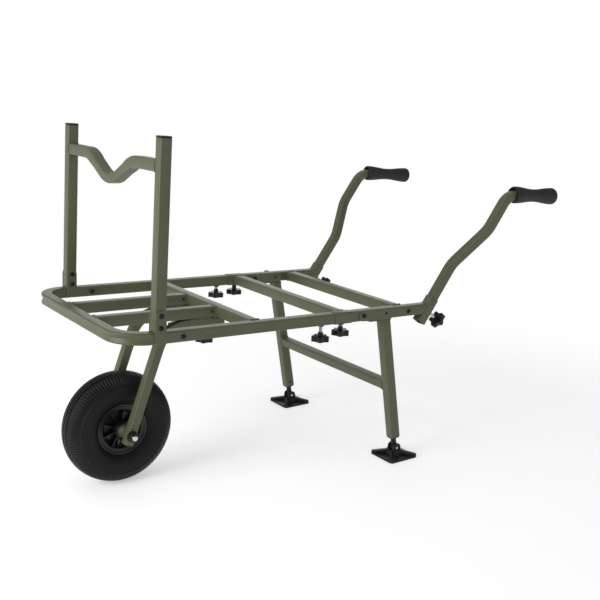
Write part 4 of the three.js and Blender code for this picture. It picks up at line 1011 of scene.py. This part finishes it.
half_section = [
    (crown(0) - middle_depth, 0), (crown(0) - middle_depth, groove_floor),
    (crown(groove_mouth), groove_mouth),
    (crown(0.0060), 0.0060), (crown(groove_y - groove_mouth), groove_y - groove_mouth),
    (crown(groove_y) - groove_depth, groove_y - groove_floor),
    (crown(groove_y) - groove_depth, groove_y + groove_floor),
    *((crown(y), y) for y in (groove_y + groove_mouth, 0.0180, 0.0215, tread_half)),
    (0.1228, 0.0274), (0.1203, 0.0304), (0.1165, 0.0340), (0.1120, 0.0372), (0.1075, 0.0396),
    (0.1040, 0.0410), (0.1032, 0.0420), (0.1022, 0.0420), (0.1014, 0.0415), (0.0950, tyre_half),
    (0.0890, 0.0421), (0.0830, 0.0411), (0.0770, 0.0394), (0.0720, 0.0372), (0.0712, 0.0376),
    (0.0700, 0.0372), (0.0690, 0.0356), (0.0655, 0.0335), (0.0622, 0.0302), (0.0613, 0.0267),
    (0.0483, 0.0247), (0.0483, 0.0187), (0.0955, 0.0365), (0.1140, 0.0210),
]
other_half = [(r, -y) for r, y in reversed(half_section[1:])]
tyre = spun([*half_section, (0.1190, 0.0), *other_half], tread_steps)
for place in range(4):
    shift(
        tyre,
        lambda p: (
            tread_step(p) % 4 == place
            and (abs(p.y) < middle_groove or side_groove[0] < abs(p.y) < side_groove[1])
            and math.hypot(p.x, p.z) > groove_bottom
        ),
        (0, (zig_zag, -zig_zag)[place // 2], 0),
    )
for side in (1, -1):
    pick(
        tyre,
        lambda p: (
            tread_step(p) % 4 in (2, 3)
            and block_span[0] < side * p.y < block_span[1]
            and math.hypot(p.x, p.z) > block_bottom
        ),
    )
    bpy.ops.transform.resize(value=(block_share, 1, block_share), center_override=(0, 0, 0))
    bpy.ops.transform.translate(value=(0, -block_inset * side, 0))
    leave_edit()
hand_over(tyre, "tyre", "rubber_ring", "wheel", rubber, place=wheel, smooth=math.radians(28))

# Rim
# A moulded nylon rim: a barrel with two flanges, and a dished web that nine thin ribs join to the
# hub. The valve stands in the dish.
hub_half = 0.0345
rib_count = 9
rib_thickness = 0.0026
rib_edge = 0.0004
valve_hole = 0.00385
valve_hole_depth = 0.020
valve_turn = math.radians(260)
valve_lean = math.radians(29)
valve_out = Vector((math.cos(valve_turn), 0, math.sin(valve_turn)))
valve_at = valve_out * 0.042 - Y * 0.0126
valve_along = (-valve_out - Y * math.tan(valve_lean)).normalized()
rim_nylon = finish(
    "rim_nylon", (0.007, 0.007, 0.0072), (0.011, 0.011, 0.0112), (0.3, 0.42),
    depth=0.00006, specular=0.42,
)
bright_steel = finish(
    "bright_steel", (0.55, 0.55, 0.56), (0.68, 0.68, 0.69), (0.18, 0.32), metal=1, depth=0.00004
)
dark_steel = finish(
    "dark_steel", (0.07, 0.07, 0.073), (0.11, 0.11, 0.114), (0.3, 0.45), metal=1, depth=0.00004
)


def turned_copies(piece, count, axis):
    """A shape and its copies, spaced evenly all the way round an axis through the origin."""
    copies = [piece]
    deselect()
    piece.select_set(True)
    bpy.context.view_layer.objects.active = piece
    for _ in range(count - 1):
        bpy.ops.object.duplicate()
        bpy.ops.transform.rotate(
            value=2 * math.pi / count, orient_axis=axis, orient_type="GLOBAL", center_override=(0, 0, 0)
        )
        copies.append(bpy.context.object)
    return copies


barrel = [
    (0.0596, 0.0310), (0.0607, 0.0302), (0.0610, 0.0288), (0.0604, 0.0272), (0.0480, 0.0250),
    (0.0480, 0.0143), (0.0400, 0.0103), (0.0400, -0.0103), (0.0480, -0.0143), (0.0480, -0.0250),
    (0.0604, -0.0272), (0.0610, -0.0288), (0.0607, -0.0302), (0.0596, -0.0310),
    (0.0560, -0.0300), (0.0535, -0.0272), (0.0488, -0.0264), (0.0472, -0.0256), (0.0456, -0.0236),
    (0.0448, -0.0150), (0.0375, -0.0105), (0.0375, 0.0105), (0.0448, 0.0150),
    (0.0456, 0.0236), (0.0472, 0.0256), (0.0488, 0.0264), (0.0535, 0.0272), (0.0560, 0.0300),
]
web = [(0.0385, 0.0090), (0.0385, -0.0090), (0.0180, -0.0090), (0.0180, 0.0090)]
hub = [
    (0.0185, 0.0345), (0.0190, 0.0340), (0.0190, -0.0340), (0.0185, -0.0345), (0.0143, -0.0345),
    (0.0143, -0.0245), (0.0120, -0.0245), (0.0120, 0.0245), (0.0143, 0.0245), (0.0143, 0.0345),
]
rib_outline = [
    (0.0180, 0.0220), (0.0462, 0.0220), (0.0462, 0.0155), (0.0385, 0.0100),
    (0.0385, -0.0100), (0.0462, -0.0155), (0.0462, -0.0220), (0.0180, -0.0220),
]
rim = spun(barrel, 120)
drill(rim, valve_at, valve_along, valve_hole, valve_hole_depth)
parts = [rim, spun(web, 96), spun(hub, 72)]
rib_face = [Vector((r, y, -rib_thickness / 2)) for r, y in rib_outline]
rib = sheet(rib_face, [0] * len(rib_outline), Z * rib_thickness)
soften(rib, rib_edge)
parts += turned_copies(rib, rib_count, "Y")
hand_over(
    joined(parts), "wheel_rim", "moulding", "wheel", rim_nylon, place=wheel
)
valve = turned(
    [(0.0036, 0), (0.0036, 0.0135), (0.0030, 0.0145), (0.0025, 0.0150), (0.0025, 0.0190), (0.0020, 0.0200)],
    valve_at,
    valve_along,
)
hand_over(valve, "valve_stem", "brass", "wheel", dark_steel, place=wheel)

# Axle
# One bolt runs through both fork arms, two flanged bearings and two olive cup spacers. Its thread
# ends outside the left arm, in a washer and a black lock nut.
bearing_flange = 0.0018
hub_face = hub_half + bearing_flange + seam_gap
spacer_face = bar_y - slim_half - seam_gap
spacer_span = spacer_face - hub_face
arm_face = bar_y + slim_half + seam_gap
tip_y = arm_face + 0.018
axle_threads = 9
axle_pitch = 0.0011
axle_thread_start = 0.0016
race_profile = [
    (axle_hole, 0.0018), (0.0070, 0.0018), (0.0075, 0.0014), (0.0145, 0.0014), (0.0150, 0.0018),
    (0.0162, 0.0018), (0.0165, 0.0015), (0.0165, 0), (0.0140, 0), (0.0140, -0.0100),
    (axle_hole, -0.0100), (axle_hole, 0.0018),
]
cup_profile = [
    (axle_hole, 0.009), (0.0122, 0.0035), (0.0122, 0), (0.0143, 0), (0.0150, 0.0007),
    (0.0150, 0.0040), (0.0142, 0.0062), (0.0118, 0.0105), (0.0104, 0.0135), (0.0100, 0.0160),
    (0.0100, spacer_span - 0.0005), (0.0095, spacer_span), (axle_hole, spacer_span), (axle_hole, 0.009),
]
washer_profile = [
    (axle_hole, 0), (0.0130, 0), (0.0130, 0.0008), (0.0122, 0.0014), (0.0100, 0.0026),
    (0.0090, 0.0030), (axle_hole, 0.0030), (axle_hole, 0),
]
nut_profile = [(0.0098, 0.0028), (0.0110, 0.0034), (0.0110, 0.0100), (0.0098, 0.0112)]
nut_collar = [
    (0.0066, 0.0100), (0.0088, 0.0100), (0.0088, 0.0128), (0.0080, 0.0138), (0.0066, 0.0140),
    (0.0066, 0.0100),
]
head_profile = [(0.0098, 0), (0.0115, 0.0004), (0.0115, 0.0064), (0.0100, 0.008)]
for name, sign in left_and_right:
    out = Y * sign
    race = turned(race_profile, out * hub_half, out, facets=48)
    hand_over(
        race, f"wheel_bearing_{name}", "race", "wheel", dark_steel,
        place=wheel, name=f"bearing_{name}_race",
    )
    cup = turned(cup_profile, out * hub_face, out, facets=48)
    hand_over(cup, f"axle_spacer_{name}", "cup", "fork", olive_coat, place=wheel)

shank = [(0.0048, 0), (0.0059, 0.0012), (0.0059, tip_y + arm_face)]
parts = [turned(shank, Y * -tip_y, Y), turned(head_profile, Y * arm_face, Y, facets=6)]
for i in range(axle_threads):
    ridge_at = -Y * (tip_y - axle_thread_start - axle_pitch * i)
    parts.append(turned([(0.0058, 0), (0.0061, 0.0005), (0.0058, 0.001)], ridge_at, Y, facets=24))
hand_over(joined(parts), "axle_bolt", "steel", "fork", bright_steel, place=wheel)
nut_at = Y * -arm_face
nut = joined([
    turned(washer_profile, nut_at, -Y, facets=40),
    turned(nut_profile, nut_at, -Y, facets=6),
    turned(nut_collar, nut_at, -Y, facets=40),
])
hand_over(nut, "axle_nut", "lock", "fork", black_steel, place=wheel)

# Clamp knobs
# Eight moulded black knobs of one kind, each on a zinc stud: five narrow lobes with wide scallops
# between them, bevelled at both ends, on a long neck. The studs bear on the sliding tubes.
knob_radius = 0.0206
knob_start = 0.0040
knob_end = 0.0165
knob_edge = 0.0016
knob_lobes = 5
scallop_radius = 0.0165
scallop_depth = 0.0050
thread_pitch = 0.00125
thread_start = 0.0045
thread_short = 0.005
front_knob_drop = 0.047
rear_knob_drop = 0.038
fork_knob_drop = 0.067
handle_knob_reach = 0.0275
far_front_lift = 0.007
far_rear_lift = 0.002
inner_half = 0.0106
inner_bottom = tube_half + inner_half + seam_gap
arm_bottom = -sleeve_z + slim_half + seam_gap
knob_face = tube_half + handle_knob_reach
knob_black = finish(
    "knob_nylon", (0.0035, 0.0035, 0.0037), (0.006, 0.006, 0.0062), (0.24, 0.36),
    depth=0.00008, specular=0.28,
)


def clamp_knob(name, at, axis, reach):
    """A knob with its place on the stud at a point, its stud reaching back from there."""
    middle = (knob_start + knob_end) / 2
    lobes = cylinder((0, 0, middle), knob_radius, knob_end - knob_start, 96)
    for i in range(knob_lobes):
        turn = 2 * math.pi / knob_lobes * (i + 0.5)
        far = knob_radius + scallop_radius - scallop_depth
        scallop_at = (far * math.cos(turn), far * math.sin(turn), middle)
        cut_away(lobes, cylinder(scallop_at, scallop_radius, 2 * knob_end, 64))
    soften(lobes, knob_edge, angle=math.radians(50), steps=3)
    neck = [
        (0.0078, 0.0050), (0.0066, 0.0038), (0.0060, 0.0028), (0.0060, -0.0040), (0.0055, -0.0045),
        (0.0045, -0.0046),
    ]
    cap = [(0.0105, knob_end - 0.0004), (0.0102, knob_end + 0.0003), (0.0085, knob_end + 0.0005)]
    knob = joined([lobes, turned(neck, Vector(), Z), turned(cap, Vector(), Z)])
    core = [(0.0037, 0.006), (0.0037, 0.0008 - reach), (0.0030, -reach)]
    stud_parts = [turned(core, Vector(), Z, facets=20)]
    for i in range(int((reach - thread_short) / thread_pitch)):
        start = -thread_start - thread_pitch * i
        thread = [(0.0036, start), (0.0040, start - 0.0006), (0.0036, start - 0.0012)]
        stud_parts.append(turned(thread, Vector(), Z, facets=20))
    stud = joined(stud_parts)
    stand = deck @ Matrix.Translation(at) @ Z.rotation_difference(axis).to_matrix().to_4x4()
    hand_over(
        knob, name, "moulding", name, knob_black,
        place=stand, smooth=math.radians(40),
    )
    hand_over(stud, name, "stud", name, bright_steel, place=stand)


for name, sign in left_and_right:
    y = sign * rail_y
    right = sign > 0
    front_drop = front_knob_drop - (far_front_lift if right else 0)
    rear_drop = rear_knob_drop - (far_rear_lift if right else 0)
    handle_knob_at = Vector((socket_x, y, socket_z)) + socket_rear * knob_face
    for which, at, axis, reach in (
        ("front", Vector((front_knob_x, y, -front_drop)), -Z, front_drop - inner_bottom),
        ("rear", Vector((rear_knob_x, y, -rear_drop)), -Z, rear_drop - inner_bottom),
        ("fork", Vector((fork_knob_x, sign * bar_y, -fork_knob_drop)), -Z, fork_knob_drop - arm_bottom),
        ("handle", handle_knob_at, socket_rear, knob_face - slim_half - seam_gap),
    ):
        clamp_knob(f"knob_{which}_{name}", at, axis, reach)

# Handles
# Each handle is a length of the lighter square tube out of its socket, bent outward and back, then
# level into a waisted foam grip that is closed over the tube's end and stretched wide at its mouth.
handle_inset = 0.009
handle_rise = 0.0982
jog_rise = 0.1094
jog_out = 0.0527
handle_upper = 0.1039
handle_bend = 0.052
jog_bend = 0.070
grip_tilt = math.radians(-2.6)
grip_toe = math.radians(2.2)
handle_end = 0.1635
grip_length = 0.150
grip_beyond = 0.0043
grip_radius = 0.0183
grip_swell = 0.0027
grip_lip = 0.005
grip_rings = 12
foam = finish(
    "grip_foam", (0.009, 0.009, 0.0095), (0.016, 0.016, 0.0165), (0.62, 0.8),
    grain=1400, depth=0.0003, cloud=30,
)
grip_mouth = [
    (0.0152, 0.0130), (0.0166, 0.0012), (0.0172, 0), (0.0186, 0.0004), (0.0202, 0.0022), (0.0210, 0.0050),
]
grip_waist = [
    (
        grip_radius + grip_swell * math.cos(2 * math.pi * share),
        grip_lip + share * (grip_length - 2 * grip_lip),
    )
    for share in (i / grip_rings for i in range(1, grip_rings))
]
grip_close = [
    (0.0210, 0.1450), (0.0202, 0.1476), (0.0186, 0.1493), (0.0165, 0.1500), (0.0075, 0.1500),
    (0.0070, 0.1494), (0.0060, 0.1494),
]
for name, sign in left_and_right:
    socket_at = Vector((socket_x, sign * rail_y, socket_z))
    start = socket_at + socket_along * (handle_inset - socket_length / 2)
    jog_start = socket_at + socket_along * (socket_length / 2 + handle_rise)
    jog_end = jog_start + socket_along * jog_rise + Y * (sign * jog_out)
    bend = jog_end + socket_along * handle_upper
    grip_along = Vector((
        math.cos(grip_tilt) * math.cos(grip_toe),
        -sign * math.sin(grip_toe),
        math.sin(grip_tilt),
    ))
    end = bend + grip_along * handle_end
    handle_corners = [start, jog_start, jog_end, bend, end]
    handle = drawn_tube(handle_corners, [jog_bend, jog_bend, handle_bend], Y, slim, slim_corner)
    soften(handle, slim_edge)
    hand_over(handle, f"handle_{name}", "tube", f"handle_{name}", olive_coat)

    grip_start = end + grip_along * (grip_beyond - grip_length)
    grip = turned([*grip_mouth, *grip_waist, *grip_close], grip_start, grip_along, facets=56)
    hand_over(grip, f"grip_{name}", "foam", f"handle_{name}", foam)

# Legs and brackets
# Each leg is a square tube, welded under a folded steel channel that hangs on the rail by a bolt. A
# lighter tube ties the two legs.
leg_lean = math.radians(11.06)
leg_splay = math.radians(0.5)
leg_top_x = 0.3776 + tube_half / math.cos(leg_lean)
foot_pin_height = 0.023
stem_drop = 0.030
leg_inset = 0.003
leg_hole = 0.0033
leg_hole_rise = 0.012
leg_weld_drop = 0.0008
leg_top_y = rail_outer_y - leg_inset - tube_half
tie_drop = 0.1985
tie_tube = 0.023
tie_corner = 0.0028
bracket_thickness = 0.0026
bracket_nose = 0.0132
bracket_edge = 0.0005
bottom_edge = 0.0008
rail_bolt_x = 0.460
rail_bolt_z = -0.013
bottom_x = 0.371
bottom_length = 0.062
floor_z = -tube - seam_gap - bracket_thickness
pin_fall = deck_height * math.cos(deck_pitch) - leg_top_x * math.sin(deck_pitch) - foot_pin_height
pin_drop = pin_fall / (math.cos(deck_pitch) + math.tan(leg_lean) * math.sin(deck_pitch))
leg_end_drop = pin_drop - stem_drop


def leg_point(sign, drop):
    """The point on a leg's middle line that lies so far below the deck's top."""
    return Vector((
        leg_top_x + drop * math.tan(leg_lean),
        sign * (leg_top_y - drop * math.tan(leg_splay)),
        -drop,
    ))


bracket_outline = [
    (leg_pivot_x - bracket_nose, leg_pivot_z - bracket_nose),
    (0.331, leg_pivot_z - bracket_nose),
    (0.340, floor_z),
    (0.402, floor_z),
    (0.411, floor_z + 0.009),
    (0.411, leg_pivot_z + bracket_nose - tube_corner),
    (leg_pivot_x - bracket_nose, leg_pivot_z + bracket_nose - tube_corner),
]
bracket_roundings = [0.0116, 0.002, 0.002, 0.002, 0.002, 0.0012, 0.0116]
bracket_holes = [(leg_pivot_x, leg_pivot_z, bolt_hole), (lock_x, lock_z, lock_hole)]
for name, sign in left_and_right:
    plates = []
    for way in (1, -1):
        plate = side_plate(
            sign, way, bracket_outline, bracket_roundings, bracket_thickness, bracket_holes
        )
        soften(plate, bracket_edge)
        plates.append(plate)
    bottom = block((bottom_x, sign * rail_y, floor_z + bracket_thickness / 2), 1)
    bottom_width = tube + 2 * (seam_gap + bracket_thickness)
    bpy.ops.transform.resize(value=(bottom_length, bottom_width, bracket_thickness))
    bpy.ops.object.transform_apply(location=False, rotation=False, scale=True)
    soften(bottom, bottom_edge, steps=3)
    hand_over(joined([*plates, bottom]), f"leg_bracket_{name}", "channel", "leg_frame", olive_coat)

    leg = straight_tube(leg_point(sign, -floor_z - tube), leg_point(sign, leg_end_drop), Y)
    above = (leg_top_x, sign * leg_top_y, floor_z - seam_gap + tube)
    cut_away(leg, block(above, 2 * tube))
    bead = weld_bead(leg_point(sign, -floor_z + leg_weld_drop), -Z, Y)
    if sign > 0:
        hole_at = leg_point(sign, leg_end_drop - leg_hole_rise) - Y * tube_half
        drill(leg, hole_at, Y, leg_hole, tube_half)
    hand_over(joined([leg, bead]), f"leg_{name}", "tube", "leg_frame", olive_coat)

    pivot = through_bolt(leg_pivot_x, leg_pivot_z, sign, 2 * seam_gap + bracket_thickness)
    hand_over(pivot, f"leg_bolt_{name}", "steel", "rear_frame", black_steel)
    head_at = Vector((rail_bolt_x, sign * (rail_outer_y + seam_gap), rail_bolt_z))
    shank = [(bolt_radius, -0.004), (bolt_radius, 0.0005)]
    bolt = joined([button_head(head_at, Y * sign), turned(shank, head_at, Y * sign, facets=20)])
    hand_over(bolt, f"rail_bolt_{name}", "steel", "rear_frame", black_steel)

tie_middle = leg_point(1, tie_drop)
tie_across = Vector((math.cos(leg_lean), 0, math.sin(leg_lean)))
tie_reach = tie_middle.y - tube_half - 2 * seam_gap
set_back = -tie_across * (tube_half - tie_tube / 2)
tie_start = Vector((tie_middle.x, -tie_reach, tie_middle.z)) + set_back
tie_end = Vector((tie_middle.x, tie_reach, tie_middle.z)) + set_back
tie = joined([
    straight_tube(tie_start, tie_end, tie_across, tie_tube, tie_corner),
    weld_bead(tie_start, Y, tie_across, tie_tube),
    weld_bead(tie_end, Y, tie_across, tie_tube),
])
hand_over(tie, "leg_tie_bar", "tube", "leg_frame", olive_coat)

# Leg lock
# A turned steel plunger beside the right-hand bracket, drawn out. Its head is the grip, and its tip
# waits inside the bracket's plate for the rail's hole.
plunger_travel = 0.007
plunger_profile = [
    (0.0060, 0.0003), (0.0068, 0.0007), (0.0082, 0.0036), (0.0095, 0.0050), (0.0095, 0.0118),
    (0.0090, 0.0132), (0.0076, 0.0148), (0.0068, 0.0150),
]
plunger_tip = [(0.0020, -0.0096), (0.00275, -0.0086), (0.00275, 0.002)]
plunger_face = rail_outer_y + seam_gap + bracket_thickness + plunger_travel
plunger_at = Vector((lock_x, plunger_face, lock_z))
plunger = joined([
    turned(plunger_profile, plunger_at, Y, facets=40),
    turned(plunger_tip, plunger_at, Y, facets=24),
])
hand_over(plunger, "lock_plunger", "turned", "lock_plunger", black_steel)

# Feet
# A black moulded plug closes each leg. Its stem ends in a lug between the two ears of a square pad
# with a broad ridge out to each corner, and a steel pin holds them together.
flange_size = 0.0235
flange_thickness = 0.003
flange_edge = 0.0006
plug_length = 0.014
pad_size = 0.084
pad_steps = ((0.0033, 0.084), (0.0012, 0.0816), (0.0012, 0.036), (0.0118, 0.027))
pad_corner = 0.005
pad_edge = 0.0008
lug_half = 0.007
pin_half = 0.0116
cradle_radius = 0.0086
cradle_width = 0.0146
ridge_width = 0.011
ridge_tip = 0.055
ridge_cut = 0.00196
ridge_edge = 0.0012
ridge_outline = [(0, 0.0020), (0.0559, 0.0020), (0.0559, 0.0090), (0.0135, 0.0175), (0, 0.0175)]
ear_half = 0.0120
ear_rounding = 0.0118
ear_foot = 0.0045
ear_hole = 0.00325
ear_edge = 0.0007
ear_gap = 0.0073
ear_thickness = 0.004
for name, sign in left_and_right:
    end = leg_point(sign, leg_end_drop)
    pin = leg_point(sign, pin_drop)
    down = (leg_point(sign, tube) - leg_point(sign, 0)).normalized()
    flange_at = end + down * seam_gap
    flange_end = flange_at + down * flange_thickness
    flange = straight_tube(flange_at, flange_end, Y, flange_size, tube_corner, wall=0)
    soften(flange, flange_edge)
    stem_profile = [
        (0.0092, 0.0025), (0.0080, 0.0040), (0.0070, 0.0052), (0.0070, (pin - flange_at).length)
    ]
    stem = turned(stem_profile, flange_at, down)
    lug_profile = [(0.0074, 0), (0.0080, 0.0006), (0.0080, 0.0134), (0.0074, 2 * lug_half)]
    lug = turned(lug_profile, pin - Y * lug_half, Y)
    pin_profile = [(0.0026, 0), (0.0030, 0.0004), (0.0030, 0.0228), (0.0026, 2 * pin_half)]
    shaft = turned(pin_profile, pin - Y * pin_half, Y)
    plug = straight_tube(end - down * plug_length, flange_at, Y, plug_size, plug_corner, wall=0)
    stem = joined([flange, stem, lug, plug])
    hand_over(stem, f"foot_stem_{name}", "moulding", "leg_frame", black_plastic)
    hand_over(shaft, f"foot_stem_{name}", "pin", "leg_frame", bright_steel)

    level = Vector((0, 0, -foot_pin_height))
    pad = square_face(level, pad_size)
    bpy.ops.mesh.bevel(affect="VERTICES", offset=pad_corner, segments=1)
    size_now = pad_size
    for rise, size_next in pad_steps:
        level = level + Z * rise
        draw_out(Z * rise, size_next / size_now, level)
        size_now = size_next
    turn_outward()
    soften(pad, pad_edge, angle=math.radians(12), steps=3)
    cut_away(pad, cylinder((0, 0, 0), cradle_radius, cradle_width, 40, Y))
    ridge_face = [Vector((x, -ridge_width / 2, z - foot_pin_height)) for x, z in ridge_outline]
    ridge = sheet(ridge_face, [0] * len(ridge_outline), Y * ridge_width)
    pick(ridge, lambda a, b: min(a.x, b.x) > ridge_tip and abs(a.z - b.z) > near, "EDGE")
    bpy.ops.mesh.bevel(affect="EDGES", offset=ridge_cut, segments=1)
    leave_edit()
    soften(ridge, ridge_edge, steps=3)
    ridge.matrix_world = Matrix.Rotation(math.pi / 4, 4, "Z") @ ridge.matrix_world
    parts = [pad, *turned_copies(ridge, 4, "Z")]
    for side in (1, -1):
        inner_y = side * ear_gap
        ear_outline = [
            Vector((-ear_half, inner_y, ear_foot - foot_pin_height)),
            Vector((ear_half, inner_y, ear_foot - foot_pin_height)),
            Vector((ear_half, inner_y, ear_half)),
            Vector((-ear_half, inner_y, ear_half)),
        ]
        ear = sheet(ear_outline, [0, 0, ear_rounding, ear_rounding], Y * (side * ear_thickness))
        drill(ear, Vector((0, inner_y, 0)), Y, ear_hole, tube)
        soften(ear, ear_edge, steps=3)
        parts.append(ear)
    hand_over(
        joined(parts), f"foot_{name}", "pad", f"foot_{name}", black_plastic,
        place=Matrix.Translation(deck @ pin),
    )
